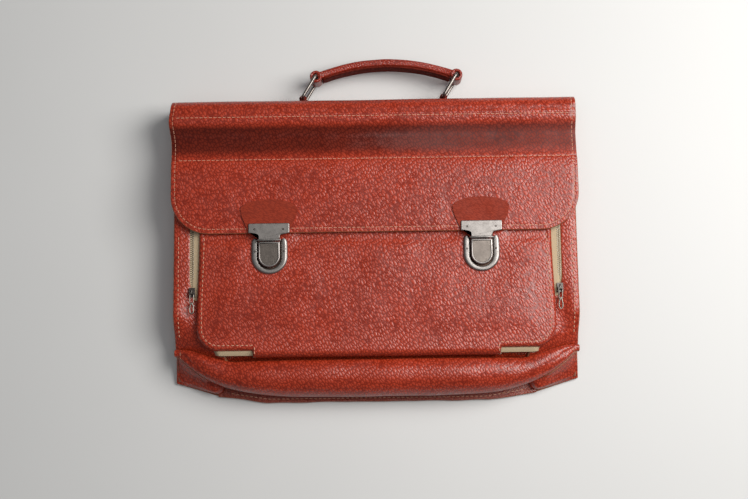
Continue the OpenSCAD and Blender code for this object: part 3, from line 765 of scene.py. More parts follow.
front_x = steps((-FRONT_HALF, -150, 3), (-150, 150, 7), (150, FRONT_HALF, 3))
front_from = roll_top(np.minimum(1, abs(front_x) / ROLL_HALF)) + 3.6
share = np.linspace(0, 1, 40)[:, None]
front_grid = grid(front, front_x[None, :], mix(front_from[None, :], FRONT_Y - 0.5, share))
front_piece = skin("front_leather", front_grid, HIDE, hide, "case", "grained_leather")
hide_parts("front_panel")

RIM_THICK = RIM_Z - FRONT_Z - 0.1
LIP = 3.1  # the margin starts this far outside the zip's centre line


def widened(x, y):
    """The pocket's own widening towards its lower corners."""
    return x * (1 + 0.014 * smooth((14 - y) / 92) * smooth(abs(x) / POCKET_HALF))


def margin_path():
    """Inner and outer outline of the margin round the zip, from the lower left corner over the top."""
    pairs = []
    in_half, in_top = ZIP_HALF + LIP, ZIP_TOP + LIP
    r = ZIP_R + LIP
    centre = np.array([-(in_half - r), in_top - r])
    low = np.array([-(POCKET_HALF - POCKET_R), POCKET_Y + POCKET_R])
    reach = np.arange(POCKET_R, 70, 0.25)[:, None]
    for a in np.linspace(276, 180, 26):
        d = direction(a)
        gap = -2.4 + 8.0 * float(smooth((a - 240) / 30))
        ray = low + d * reach
        t = np.minimum(abs(ray[:, 0]) / ROLL_HALF, 1)
        inside = (ray[:, 0] > -FRONT_HALF) & (ray[:, 1] > roll_top(t) - 2.0)
        start = low + d * (POCKET_R + gap)
        pairs.append(((widened(*start), start[1]), ray[inside][-1]))
    for y in np.linspace(low[1], centre[1], 70)[1:]:
        closed = smooth((-30 - y) / 48)
        pairs.append(((-in_half * (1 - closed) + closed * (widened(-POCKET_HALF, y) + 2.4), y), (-FRONT_HALF, y)))
    for a in np.linspace(180, 90, 16)[1:]:
        d = direction(a)
        far = min((FRONT_HALF - in_half + r) / max(abs(d[0]), 1e-6), (FRONT_Y - 0.5 - centre[1]) / max(d[1], 1e-6))
        pairs.append((centre + r * d, centre + d * far))
    pairs += [((x, in_top), (x, FRONT_Y - 0.5)) for x in np.linspace(centre[0], 0, 30)[1:]]
    lines = [np.array([pair[i] for pair in pairs], float) for i in (0, 1)]
    return [np.vstack([line, line[-2::-1] * FLIP]) for line in lines]


def margin(x, y):
    """The margin's face: highest over the outer seam, falling towards the zip."""
    x, y = floats(x, y)
    wide = x * (1 + flare(y) / FRONT_HALF * smooth((abs(x) - ZIP_HALF - LIP) / 8))
    side = smooth((abs(x) - 178) / 17)
    bead = 0.35 * hump(abs(x) - FRONT_HALF + STITCH_IN, 0.9)
    z = RIM_Z - (1 - side) * (1.0 + 3.4 * smooth((-24 - y) / 40)) * smooth((70 - y) / 20)
    z = z - bead * (y < FRONT_Y - 8) - corner_drop(x, y)
    z = z - 0.5 * smooth((abs(x) - FRONT_HALF + 2.5) / 2.5)
    return spots(wide, y, dive(x, y, z))


margin_in, margin_out = margin_path()
across = np.array([0, 0.1, 0.25, 0.4, 0.5, 0.58, 0.66, 0.75, 0.88, 1.0])[:, None, None]
flat_margin = mix(margin_in[None], margin_out[None], across)
margin_grid = margin(flat_margin[..., 0], flat_margin[..., 1])
margin_piece = skin("pocket_margin_leather", margin_grid, RIM_THICK, hide, "case", "grained_leather")
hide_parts("pocket_frame")


def pocket_from(x):
    """The pocket panel's lower outline: round corners, and a tongue between the ends of the zip."""
    ax = abs(x)
    in_corner = np.clip(ax - (POCKET_HALF - POCKET_R), 0, POCKET_R)
    corner = POCKET_Y + POCKET_R - np.sqrt(POCKET_R**2 - in_corner**2)
    tongue = smooth((ZIP_END - 0.5 - ax) / 2.5)
    return mix(corner, TONGUE_Y + 1, tongue)


def pocket_to(x):
    in_corner = np.clip(abs(x) - (POCKET_HALF - POCKET_R), 0, POCKET_R)
    return POCKET_TOP - POCKET_R + np.sqrt(POCKET_R**2 - in_corner**2)


def quarter_round(low, high, t):
    """Height rising from low to high along a quarter of an ellipse."""
    return low + (high - low) * np.sqrt(1 - (1 - np.clip(t, 0, 1)) ** 2)


def pocket(x, y):
    x, y = floats(x, y)
    ax = abs(x)
    qx, qy = ax - (POCKET_HALF - POCKET_R), (POCKET_Y + POCKET_R) - y
    in_corner = (qx > 0) & (qy > 0)
    edge = np.where(in_corner, POCKET_R - np.hypot(qx, qy), np.minimum(POCKET_HALF - ax, y - POCKET_Y))
    edge = np.minimum(edge, POCKET_TOP - y)
    tongue = smooth((ZIP_END - 0.5 - ax) / 2.5)
    low_edge = np.minimum(POCKET_HALF - ax, POCKET_TOP - y)
    side_z, side_only = (quarter_round(TAPE_Z + 0.2, POCKET_Z, e / EDGE_TURN) for e in (edge, low_edge))
    low_z = quarter_round(TONGUE_Z, POCKET_Z, (y - TONGUE_Y - 1) / 7)
    z = mix(side_z, np.minimum(low_z, side_only), tongue)
    z = z - 0.35 * hump(edge - 5.2, 0.9) * (1 - tongue)
    body = smooth((edge - 6) / 25) * lock_mask(x, y, -26, 12, 18) * smooth((12 - y) / 12)
    belly = 1.5 * hump(y + 58, 30) + 0.7 * hump(y + 8, 7)
    z = z + body * (belly + 0.45 * ripple(x, y, 48, 12) + 0.22 * ripple(x, y, 22, 13))
    z = z - 1.3 * smooth((y - 1) / 8) * lock_mask(x, y, -26, 12, 18) * smooth((POCKET_HALF - ax) / 6)
    return spots(widened(x, y), y, z)


turn_x = POCKET_HALF - POCKET_R + POCKET_R * np.sin(np.radians(np.linspace(0, 86, 16)))
half_x = np.concatenate([steps((0, ZIP_END - 4, 2.5), (ZIP_END - 4, ZIP_END + 2, 0.5), (ZIP_END + 2, turn_x[0], 2.5)),
                         turn_x[1:]])
pocket_x = np.concatenate([-half_x[:0:-1], half_x])
share = runs((0, 0.075, 12), (0.075, 0.93, 62), (0.93, 1, 8))
pocket_y = mix(pocket_from(pocket_x)[None, :], pocket_to(pocket_x)[None, :], share)
pocket_grid = grid(pocket, pocket_x[None, :], pocket_y)
pocket_piece = skin("pocket_leather", pocket_grid, HIDE, hide, "case", "grained_leather")
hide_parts("pocket_panel")


# ---------- bottom roll ----------


def roll(x, a):
    """The roll's face; a runs from 0 in the groove to 1 at the back panel."""
    x, a = floats(x, a)
    t = np.minimum(abs(x) / ROLL_HALF, 1)
    r, cy, cz = roll_circle(t)
    rest = HIDE + 0.4 + 3.2 * np.clip((t - 0.68) / 0.08, 0, 1)
    end = 180 + np.degrees(np.arcsin(np.minimum(0.78, (cz - rest) / r)))
    angle = ROLL_FROM + (end - ROLL_FROM) * a
    near_end = smooth((t - 0.72) / 0.26)
    crease = np.sin(np.radians(angle) * 5 + 9 * t + 0.6 * np.sign(x)) * near_end * smooth((1 - t) / 0.05)
    r = r + 0.5 * ripple(x, angle * 0.5, 42, 21) * smooth(a / 0.2) * smooth((1 - a) / 0.2) * smooth((1 - t) / 0.1)
    r = r + 0.8 * crease * smooth(a / 0.15) * smooth((1 - a) / 0.15)
    angle = np.radians(angle)
    return spots(x, cy + r * np.cos(angle), cz + r * np.sin(angle))


roll_x = steps((-ROLL_HALF - 1, -150, 1.6), (-150, 150, 3), (150, ROLL_HALF + 1, 1.6))
roll_grid = grid(roll, roll_x[None, :], np.linspace(0, 1, 34)[:, None])
roll_piece = skin("bottom_roll_leather", roll_grid[::-1], HIDE - 0.1, hide, "case", "grained_leather")
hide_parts("bottom_panel")


# ---------- back, binding, gussets and corners ----------


def back_from(x):
    return np.interp(abs(x), [0, 110, 158, HALF_W], [-148.6, -148.6, -142, -129])


def back(x, y):
    x, y = floats(x, y)
    edge = np.minimum(np.minimum(HALF_W - abs(x), TOP_Y - y), y - back_from(x))
    z = 0.55 * hump(edge - STITCH_IN, 1.2) + 0.25 * smooth((1.5 - edge) / 1.5)
    return spots(x, y, z)


back_x = steps((-HALF_W + 0.4, -190, 0.8), (-190, 190, 4), (190, HALF_W - 0.4, 0.8))
share = runs((0, 0.03, 10), (0.03, 0.97, 66), (0.97, 1, 10))
back_grid = grid(back, back_x[None, :], mix((back_from(back_x) + 0.4)[None, :], TOP_Y - 0.4, share))
back_piece = skin("back_leather", back_grid[:, ::-1], HIDE, hide, "case", "grained_leather")
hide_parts("back_panel")

BIND_HALF = box_mm("bottom_binding")[1][0]
BIND_Z = box_mm("bottom_binding")[1][2]


def binding(x, y):
    x, y = floats(x, y)
    z = BIND_Z - 0.35 * hump(y - back_from(x) - 2.6, 0.8)
    z = z + 0.25 * ripple(x, y, 30, 31)
    return spots(x, y, z)


bind_x = steps((-BIND_HALF - 8, BIND_HALF + 8, 2.5))
share = np.linspace(0, 1, 12)[:, None]
bind_from = back_from(bind_x) - 0.4 + 0.5 * ripple(bind_x, 0 * bind_x, 26, 32)
bind_to = np.maximum(-139.8, roll_low(abs(bind_x) / ROLL_HALF) + 4)
bind_grid = grid(binding, bind_x[None, :], mix(bind_from[None, :], bind_to[None, :], share))
bind_piece = skin("bottom_binding_leather", bind_grid, BIND_Z - HIDE - 0.05, worn_hide, "case", "worn_leather")
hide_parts("bottom_binding")

GUSSET_FOLD = 14
GUSSET_T = 1.6
gusset_low = -127


def gusset_line(y):
    """The folded section of a gusset at y, from the back's edge round the fold to the front's edge."""
    top = FRONT_Z - HIDE - 0.2 - float(corner_drop(FRONT_HALF, y))
    close = float(smooth((-92 - y) / 36))
    top = mix(top, HIDE + 3.4, close)
    fold = GUSSET_FOLD * (1 - 0.35 * close)
    x0 = FRONT_HALF - 0.2 + float(flare(y)) * 0.6
    mid = (HIDE + top) / 2 - 0.8 * math.sin(y / 31)
    points = [(0, HIDE + 0.3), (0.28, HIDE + 0.6 + (mid - HIDE) * 0.16), (0.72, mid * 0.72 + HIDE * 0.28), (1, mid),
              (0.72, mid * 0.72 + top * 0.28), (0.28, top - 0.4 - (top - mid) * 0.16), (0, top - 0.1)]
    length, line = curve([(x0 - fold * share, z) for share, z in points], 0.6)
    at = np.linspace(0, length[-1], 30)
    return at_length(at, length, line)


gusset_y = steps((gusset_low, -88, 2), (-88, TOP_Y - HIDE - 0.4, 4))
section = np.stack([gusset_line(y) for y in gusset_y])
for side, label in SIDES:
    wave = 0.5 * ripple(gusset_y, 0 * gusset_y, 50, 41 + side)[:, None]
    wave = wave * np.sin(np.linspace(0, math.pi, 30))[None]
    face = np.stack([side * (section[..., 0] + wave), np.broadcast_to(gusset_y[:, None], section.shape[:2]),
                     section[..., 1]], -1)
    if side > 0:
        face = face[::-1]
    gusset = skin("gusset_leather_" + label, face, GUSSET_T, hide, "case", "grained_leather")
    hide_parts("gusset_" + label)

    q = np.linspace(0, 1, 30)[:, None]
    x_in = ROLL_HALF - 1 - 48 * q[:, 0]
    t = x_in / ROLL_HALF
    r, cy, cz = roll_circle(t)
    turn = np.radians(172 + 34 * smooth((q[:, 0] - 0.35) / 0.65))
    under = np.stack([x_in, cy + (r + 0.9) * np.cos(turn), cz + (r + 0.9) * np.sin(turn)], -1)
    floor_z = HIDE + GUSSET_T + 0.6
    outer = mix(np.array([HALF_W - 1.4, -99.5, 16.5]), np.array([HALF_W - 0.3, -128.9, floor_z]), q)
    low_end = np.array([150, -143.3, floor_z])
    last = smooth((q - 0.86) / 0.14)
    under = mix(under, low_end + np.array([0, 12, 0]), last)
    p = np.linspace(0, 1, 24)[None, :, None]
    patch = mix(outer[:, None], under[:, None], p)
    base = mix(outer[-1], low_end, p[0])
    patch = patch + (base - patch[-1])[None] * smooth((q - 0.55) / 0.45)[:, :, None] * (1 - p**14)
    sag = 0.9 * np.sin(p[..., 0] * math.pi) + 0.35 * ripple(patch[..., 0], patch[..., 1], 9, 77 + side)
    patch[..., 2] += sag * np.sin(q * math.pi)
    patch[..., 0] *= side
    if side < 0:
        patch = patch[:, ::-1]
    corner = skin("corner_leather_" + label, patch, GUSSET_T, hide, "case", "grained_leather")
    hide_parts("corner_fold_" + label)


# ---------- stitches of the front, roll and back ----------

seam_x = FRONT_HALF - STITCH_IN
margin_row = [(seam_x, 14), (seam_x, -60), (seam_x - 0.5, -86)]
row_in = 5.2
side_x, low_y, turn_r = POCKET_HALF - row_in, POCKET_Y + row_in, POCKET_R - row_in
pocket_row = [(side_x, 12), (side_x, low_y + turn_r)]
pocket_row += arc((side_x - turn_r, low_y + turn_r), turn_r, 0, -90, 9).tolist()[1:] + [(ZIP_END - 2.5, low_y)]
end_row = [(ROLL_HALF - 4.5, a) for a in (0.12, 0.4, 0.7, 0.97)]


def flipped(path):
    return [(-x, y) for x, y in path[::-1]]


def back_row():
    x, y = HALF_W - STITCH_IN, TOP_Y - STITCH_IN
    low = [(v, back_from(v) + STITCH_IN) for v in (x, 157, 112)]
    right = [(x, y), (x, 0), low[0], low[1], low[2], (0, back_from(0) + STITCH_IN)]
    return [(-x, y)] + right + [(-a, b) for a, b in right[-2::-1]]


def back_face(x, y):
    """The back's outer face with its normal down, sunk so that its stitches stay off the floor."""
    return back(-x, y) + np.array([0, 0, BACK_SINK])


rows = [(margin, margin_row), (margin, flipped(margin_row)), (pocket, pocket_row), (pocket, flipped(pocket_row)),
        (binding, [(-BIND_HALF + 4, back_from(BIND_HALF) + 3.4), (-108, back_from(0) + 2.6), (108, back_from(0) + 2.6),
                   (BIND_HALF - 4, back_from(BIND_HALF) + 3.4)])]
for s in (-1, 1):
    rows.append((pocket, [(s * (ZIP_END - 3.2), -96), (s * (ZIP_END - 3.2), TONGUE_Y + 4)]))
    rows.append((roll, [(s * x, a) for x, a in end_row]))
sew("front_stitches", rows, "case")
sew("back_stitches", [(back_face, back_row(), PITCH, STITCH, 0.36)], "case")


# ---------- zip ----------


def zip_line():
    """Centre line of the zip from its lower left end to its lower right end, with its inward side."""
    half, r = ZIP_HALF, ZIP_R
    left = [(-ZIP_END, ZIP_LOW)] + arc((-half + r, ZIP_LOW + r), r, 270, 180, 24).tolist()
    left += arc((-half + r, ZIP_TOP - r), r, 180, 90, 24).tolist() + [(0, ZIP_TOP)]
    line = np.array(left + [(-x, y) for x, y in left[-2::-1]])
    return lengths(line), line


zip_run, zip_points = zip_line()
TOOTH_PITCH, OUTER_TAPE_FROM = 2.1, 62  # the outer tape is hidden up to this length


def on_zip(at):
    return at_length(at, zip_run, zip_points)


def beside(along, side):
    """The direction to one side of the zip: 1 is outwards and -1 inwards."""
    return np.stack([-along[:, 1], along[:, 0]], -1) * side


def under_margin(spot, z):
    """How far a zip part with its top at z must sink to stay under the margin or behind the roll."""
    cover_z = margin(spot[:, 0], spot[:, 1])[:, 2]
    lap = smooth((-24 - spot[:, 1]) / 16)
    return np.maximum(0, z + 1.7 - cover_z) * lap + 3.5 * smooth((-97 - spot[:, 1]) / 6)


def teeth(side):
    """One row of separate teeth: side 1 outside the centre line and -1 inside it."""
    count = int(zip_run[-1] / TOOTH_PITCH)
    at = (np.arange(count) + (0.5 if side > 0 else 0.0)) * TOOTH_PITCH + 1.0
    at = at[at < zip_run[-1] - 1]
    spot = on_zip(at)
    along = unit(on_zip(at + 0.5) - spot)
    out = beside(along, side)
    z0, z1 = teeth_low[2], teeth_high[2]
    sink = under_margin(spot, z1)
    outline = [(0.32, 0.42), (0.6, 0.62), (TOOTH_GAP / 2 + TOOTH_W, 0.5)]
    plan = outline + [(a, -b) for a, b in outline[::-1]]
    layers = [(z0, 0.75), (z0 + 0.3, 1.0), (z1 - 0.45, 1.0), (z1 - 0.1, 0.8), (z1, 0.45)]
    points, faces = [], []
    for z, grow in layers:
        for a, b in plan:
            reach = 0.8 + (a - 0.8) * (0.5 + grow / 2)
            points.append(np.concatenate([spot + out * reach + along * b * grow, (z - sink)[:, None]], 1))
    points = np.stack(points, 1).reshape(-1, 3)
    for i in range(len(at)):
        faces += bar_faces(len(layers), 6, i * len(layers) * 6)
    return points, faces


for side, label in ((1, "outer"), (-1, "inner")):
    row = make("teeth_" + label, *teeth(side), zip_metal, "case", slot="zip_metal", flat=True)
    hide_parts("zip_teeth_" + label)

for side, label in ((1, "outer"), (-1, "inner")):
    skipped = 0 if side < 0 else OUTER_TAPE_FROM
    run = np.linspace(skipped, zip_run[-1] - skipped, 420 if side < 0 else 380)
    spot = on_zip(run)
    out = beside(unit(on_zip(run + 0.4) - on_zip(run - 0.4)), side)
    strip = []
    for w in (0.35, 1.2, 2.2, 3.4, 5.0, 6.6, 8.4)[: 5 if side > 0 else 7]:
        at = spot + out * w
        z = TAPE_Z - 0.6 * math.exp(-w / 1.1)
        if side > 0:
            z = z - under_margin(at, TAPE_Z)
        else:
            lap = smooth((abs(at[:, 0]) - 155) / 5) * smooth((-30 - at[:, 1]) / 24)
            z = z - lap * np.maximum(0, TAPE_Z + 1.8 - margin(at[:, 0], at[:, 1])[:, 2])
            z = z - 1.6 * smooth((-92 - at[:, 1]) / 8) * smooth((4.6 - w) / 4.6)
        strip.append(np.column_stack([at, z + 0 * run]))
    strip = np.stack(strip, 0)
    if side > 0:
        strip = strip[::-1]
    band = skin("zip_tape_" + label + "_woven", strip, 0.5, tape, "case", "zip_tape")
    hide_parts("zip_tape_" + label)

slider_low, slider_high = box_mm("zip_slider_right")
pull_low, pull_high = box_mm("zip_pull_right")
PULL_Y, PULL_Z = pull_high[1] - 0.7, (pull_low[2] + pull_high[2]) / 2


def stadium(half_w, y0, y1, z0, z1, n=9):
    """A closed loop of wire from y0 to y1, round at both ends."""
    loop = np.vstack([arc((0, y0 - half_w), half_w, 0, 180, n), arc((0, y1 + half_w), half_w, 180, 360, n)])
    share = (y0 - loop[:, 1]) / (y0 - y1)
    return np.column_stack([loop, z0 + (z1 - z0) * share])


for side, label in SIDES:
    body = "zip_slider_" + label
    refined(body, 0.35, slider_metal, 3)
    x = side * ZIP_HALF
    y0, y1 = slider_low[1], slider_high[1]
    arch = curve([(x, y0 + 1.6, 40.5), (x, y0 + 2.2, 41.6), (x, (y0 + y1) / 2 + 0.4, 42.6),
                  (x, y1 - 1.8, 41.6), (x, y1 - 1.2, 40.5)], 0.4)[1]
    arch = tube_parts(arch + np.array([0, 0, -0.15]), 0.42, 10)
    make("slider_arch_" + label, *arch, zip_metal, body, slot="zip_metal")
    link = stadium(1.75, PULL_Y + 0.7, PULL_Y - 10.5, PULL_Z, PULL_Z - 0.2)
    drop_y = PULL_Y - 9.4
    drop = np.array([(2.35 * math.sin(a) * (0.75 + 0.25 * -math.cos(a)), drop_y - 5.2 + 5.4 * math.cos(a), PULL_Z - 0.1)
                     for a in np.linspace(0, 2 * math.pi, 28, endpoint=False)])
    pin = rod_path((-2.4, PULL_Y, PULL_Z), (2.4, PULL_Y, PULL_Z), 0.62, 0.2)
    parts = [tube_parts(link, 0.5, 10, True), tube_parts(drop, 0.62, 10, True), tube_parts(*pin, 10)]
    points, faces = join(parts)
    body = "zip_pull_" + label
    pull = make("pull_loops_" + label, points + np.array([x, 0, 0]), faces, zip_metal, body, slot="zip_metal")
    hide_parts("zip_pull_" + label)


# ---------- locks ----------


def facing(face, direction):
    """The grid turned, if needed, so that its outer face looks along a direction."""
    normal = np.cross(np.gradient(face, axis=1), np.gradient(face, axis=0)).sum(axis=(0, 1))
    return face if normal @ np.array(direction) > 0 else face[:, ::-1]


def rounded(corners, n=7):
    """A closed outline from (x, y, radius) corners, with each corner rounded."""
    outline = []
    count = len(corners)
    for i, (x, y, r) in enumerate(corners):
        p = np.array([x, y])
        before, after = (unit(np.array(corners[j][:2]) - p) for j in ((i - 1) % count, (i + 1) % count))
        half = math.acos(np.clip(before @ after, -1, 1)) / 2
        reach = r / math.tan(half)
        a, b = p + before * reach, p + after * reach
        for k in np.linspace(0, 1, n):
            outline.append((1 - k) ** 2 * a + 2 * k * (1 - k) * p + k**2 * b)
    return np.array(outline)


def inset_line(outline, amount):
    """An outline moved inwards; outlines run clockwise seen from above."""
    along = unit(np.roll(outline, -1, 0) - np.roll(outline, 1, 0))
    return outline + amount * np.stack([along[:, 1], -along[:, 0]], -1)


def pressed(outline, layers, cap=True):
    """Points and faces of a pressed plate from (inset, z) layers, closed at both ends."""
    rings = [np.column_stack([inset_line(outline, amount), np.full(len(outline), z)]) for amount, z in layers]
    n = len(outline)
    faces = grid_faces(len(rings), n, wrap=True)
    if cap:
        faces += [tuple(range(n)), tuple(range((len(rings) - 1) * n, len(rings) * n))]
    return np.vstack(rings), faces


plate_low, plate_high = box_mm("lock_plate_right")
hasp_low, hasp_high = box_mm("hasp_right")
button_high = box_mm("lock_button_right")[1]
PLATE_W, PLATE_Z = (plate_high[0] - plate_low[0]) / 2, plate_high[2]
HASP_W, HASP_Z = (hasp_high[0] - hasp_low[0]) / 2, hasp_high[2]
BAR_TOP, BAR_LOW, NECK_Y, NECK_W, LIP_Y = 24.0, 14.3, 12.1, 10.7, 7.6
LIP_HALF, BUTTON_R, BUTTON_TOP, BUTTON_LOW = 11.8, 10.6, 6.2, -8.4
WELL_OUT, WELL_IN, WELL_TOP = 13.4, 10.9, 8  # outer and inner radius of the floor round a button


def half_round(half_w, y, r, n=41):
    """The lower half of an oval, from its left end to its right end."""
    turn = np.radians(np.linspace(180, 360, n))
    return np.column_stack([half_w * np.cos(turn), y + r * np.sin(turn)])


def well_side(r, y, r_low):
    """A U outline, open at the top."""
    return np.vstack([[(-r, WELL_TOP), (-r, 0)], half_round(r, y, r_low), [(r, 0), (r, WELL_TOP)]])


def shield_grid(x):
    """The lock plate's face: a rounded U round the button, with two ears beside the neck."""
    out, inn = half_round(PLATE_W, BUTTON_LOW, 17.1, 49), half_round(11.8, -9.0, 12.0, 49)
    ear_out = np.array([(-15.4, 9.5), (-16.4, 9.0), (-17.1, 8.0), (-17.6, 6.2), (-PLATE_W, 2.0), (-PLATE_W, -3.5)])
    ear_in = np.array([(-13.4, 9.5), (-12.6, 9.1), (-12.0, 8.2), (-11.8, 6.2), (-11.8, 2.0), (-11.8, -4.0)])
    out = np.vstack([ear_out, out, ear_out[::-1] * FLIP])
    inn = np.vstack([ear_in, inn, ear_in[::-1] * FLIP])
    c = np.array([0, 0.06, 0.2, 0.4, 0.6, 0.72, 0.82, 0.9, 0.96, 1.0])[None, :, None]
    flat = mix(inn[:, None], out[:, None], c)
    z = PLATE_Z - 0.15 + 0.2 * np.sin(c[..., 0] * math.pi) - 1.25 * np.clip((c[..., 0] - 0.66) / 0.34, 0, 1) ** 2
    z = z - 0.3 * np.clip((0.08 - c[..., 0]) / 0.08, 0, 1) + 0 * flat[..., 0]
    return facing(np.stack([flat[..., 0] + x, flat[..., 1], z], -1), (0, 0, 1))


half_bar = [(HASP_W, BAR_TOP, 1.6), (HASP_W, BAR_LOW, 1.0), (NECK_W + 1.2, NECK_Y + 0.6, 1.5),
            (NECK_W, NECK_Y - 0.8, 1.0), (NECK_W, LIP_Y, 0.3)]
bar_plan = rounded([(-HASP_W, BAR_TOP, 1.6)] + half_bar + [(-x, y, r) for x, y, r in half_bar[:0:-1]])
button_plan = rounded([(-BUTTON_R, BUTTON_TOP, 0.8), (BUTTON_R, BUTTON_TOP, 0.8),
                       (BUTTON_R, BUTTON_LOW, 0.01), (-BUTTON_R, BUTTON_LOW, 0.01)])[:14]
button_plan = np.vstack([button_plan, arc((0, BUTTON_LOW), BUTTON_R, 0, -180, 31)])
for side, label in SIDES:
    x = side * LOCK_X
    shift = np.array([x, 0, 0])
    shield = skin("lock_shield_" + label, shield_grid(x), 1.0, nickel, "case", "aged_nickel")
    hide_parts("lock_plate_" + label)

    c = np.linspace(0, 1, 5)[None, :, None]
    well = mix(well_side(WELL_IN, BUTTON_LOW, WELL_IN)[:, None], well_side(WELL_OUT, -9.0, 13.2)[:, None], c)
    well = facing(spots(well[..., 0] + x, well[..., 1], PLATE_Z - 1.5), (0, 0, 1))
    skin("lock_well_" + label, well, 0.6, dark_steel, "case", "lock_steel")

    z0, z1 = HASP_Z - 1.6, HASP_Z
    layers = [(0.3, z0), (0, z0 + 0.3), (0, z1 - 0.7), (0.2, z1 - 0.25), (0.6, z1), (0.95, z1)]
    points, faces = pressed(bar_plan, layers)
    v = np.linspace(-LIP_HALF, LIP_HALF, 25)
    bow = 1 - (v / LIP_HALF) ** 2
    lip = spots(v, LIP_Y - 0.3 + 0.35 * bow, z1 - 0.9 + 0.25 * bow)
    lip_r = 1.15 * np.minimum(1, 0.55 + 0.6 * bow)
    hook = [(0, LIP_Y - 1.0, z1 - 1.0), (0, LIP_Y - 1.2, z1 - 3.0), (0, LIP_Y - 0.6, z1 - 4.6)]
    strip = grid(lambda a, k: np.stack([a, np.interp(k, [0, 1, 2], [p[1] for p in hook]) + 0.35,
                                        np.interp(k, [0, 1, 2], [p[2] for p in hook])], -1),
                 np.linspace(-9.8, 9.8, 9)[None, :], np.linspace(0, 2, 7)[:, None])
    points, faces = join([(points, faces), tube_parts(lip, lip_r, 16)])
    bar = make("hasp_plate_" + label, points + shift, faces, nickel, "flap", slot="aged_nickel")
    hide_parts("hasp_" + label)
    skin("hasp_tongue_" + label, facing(strip + shift, (0, -1, 0)), 1.0, nickel, "flap", "aged_nickel")

    top = button_high[2] - 0.4
    body = "lock_button_" + label
    rim = pressed(button_plan, [(1.9, top - 0.75), (1.7, top - 0.15), (1.45, top), (0.55, top), (0.15, top - 0.4),
                                (0, top - 1.1), (0, top - 4.4), (1.0, top - 4.4)], cap=False)
    rim = make("button_rim_" + label, rim[0] + shift, rim[1], nickel, body, slot="aged_nickel")
    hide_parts(body)
    panel = pressed(button_plan, [(1.0, top - 4.3), (1.0, top - 0.9), (1.7, top - 0.7), (2.1, top - 0.7)])
    make("button_face_" + label, panel[0] + shift, panel[1], button_metal, body, slot="brushed_nickel")
    refined("lock_patch_" + label, 0.5, fine_hide, 3)


def pin_heads(places, z, radius):
    """Small sunken pins, each a dimple; their near-black metal is painted shade, as if each were a hole."""
    parts = []
    for x, y in places:
        turn = np.linspace(0, 2 * math.pi, 14, endpoint=False)[::-1]
        ring = np.column_stack([x + radius * np.cos(turn), y + radius * np.sin(turn)])
        parts.append(pressed(ring, [(0, z - 0.4), (0, z + 0.02), (radius * 0.35, z + 0.05), (radius * 0.7, z - 0.05)]))
    return join(parts)


for name, body, a, b, z in (("hasp_pins", "flap", 14, BAR_TOP - 6.0, HASP_Z + 0.02),
                            ("lock_pins", "case", 14.1, -3.2, PLATE_Z + 0.06)):
    places = [(s * LOCK_X + k * a, b) for s in (-1, 1) for k in (-1, 1)]
    heads = make(name + "_heads", *pin_heads(places, z, 1.05), hole_shade_nickel, body, slot="aged_nickel")
    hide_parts(name)
refined("tab_rivets", 0.3, nickel, 2)


# ---------- handle ----------

grip_low, grip_high = box_mm("handle_grip")
HANDLE_Z = (grip_low[2] + grip_high[2]) / 2
WIRE_R, RING_L, RING_H, RING_BEND, LEAN = 1.65, 26, 28, 2.8, 31
TAB_X, TAB_Y = 71, 154.4
ARCH_R, GRIP_T, GRIP_H, EYE_R, EYE_H = 185, 8, 18, 6.2, 22


def ring_line():
    """Centre line of a ring from its fixed bar at the origin along +Y, standing on edge."""
    h, c = RING_H / 2, RING_BEND
    corners = [((RING_L - c, h - c), 0), ((c, h - c), 90), ((c, c - h), 180), ((RING_L - c, c - h), 270)]
    flat = []
    for i, (centre, a0) in enumerate(corners):
        turn = arc(centre, c, a0, a0 + 90, 9)
        after = corners[(i + 1) % 4]
        start = arc(after[0], c, after[1], after[1] + 90, 2)[0]
        flat += turn.tolist() + [(turn[-1] + (start - turn[-1]) * k / 6).tolist() for k in range(1, 6)]
    flat = np.array(flat)
    return np.column_stack([np.zeros(len(flat)), flat])


for side, label in SIDES:
    line = turn_z(ring_line(), -LEAN) + np.array([side * TAB_X, TAB_Y, HANDLE_Z])
    wire = tube_parts(line, WIRE_R, 20, True)
    ring = make("ring_wire_" + label, *wire, ring_nickel, "ring_" + label, slot="aged_nickel")
    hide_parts("ring_" + label)
    tab = refined("handle_tab_" + label, 0.5, palm_hide, 3)
    for vertex in tab.data.vertices:
        vertex.co.z += (HANDLE_Z * MM - vertex.co.z) * 0.4

lean = np.array([math.sin(math.radians(LEAN)), math.cos(math.radians(LEAN))])
eyes = [np.array([s * TAB_X, TAB_Y]) + RING_L * lean for s in (-1, 1)]
ARCH_DROP = math.sqrt(ARCH_R**2 - TAB_X**2)
arch_centre = (eyes[0] + eyes[1]) / 2 - np.array([0, ARCH_DROP])
ARCH_A = math.degrees(math.asin(TAB_X / ARCH_R))


def arch_strip(r0, r1, height, half_angle, power, seed, stations=90, around=36, worn_ends=0.0):
    """A bar with soft corners bent along the handle's arch, between two distances from the arch line."""
    a = np.radians(np.linspace(90 + half_angle, 90 - half_angle, stations))[:, None]
    phi = np.linspace(0, 2 * math.pi, around, endpoint=False)[None]
    cos, sin = np.cos(phi), np.sin(phi)
    out = np.sign(cos) * abs(cos) ** power * (r1 - r0) / 2 + (r0 + r1) / 2
    run = a * ARCH_R
    z = np.sign(sin) * abs(sin) ** power * height(a) / 2
    r = ARCH_R + out + 0.14 * ripple(run, phi * 6, 14, seed)
    end = np.minimum(1, np.abs(np.linspace(-1, 1, stations))[:, None])
    z = z * (1 - worn_ends * smooth((end - 0.93) / 0.07) * (0.6 + 0.4 * ripple(run * 3, phi * 3, 5, seed + 1)))
    points = spots(arch_centre[0] + r * np.cos(a), arch_centre[1] + r * np.sin(a), HANDLE_Z + z).reshape(-1, 3)
    return points, bar_faces(stations, around)


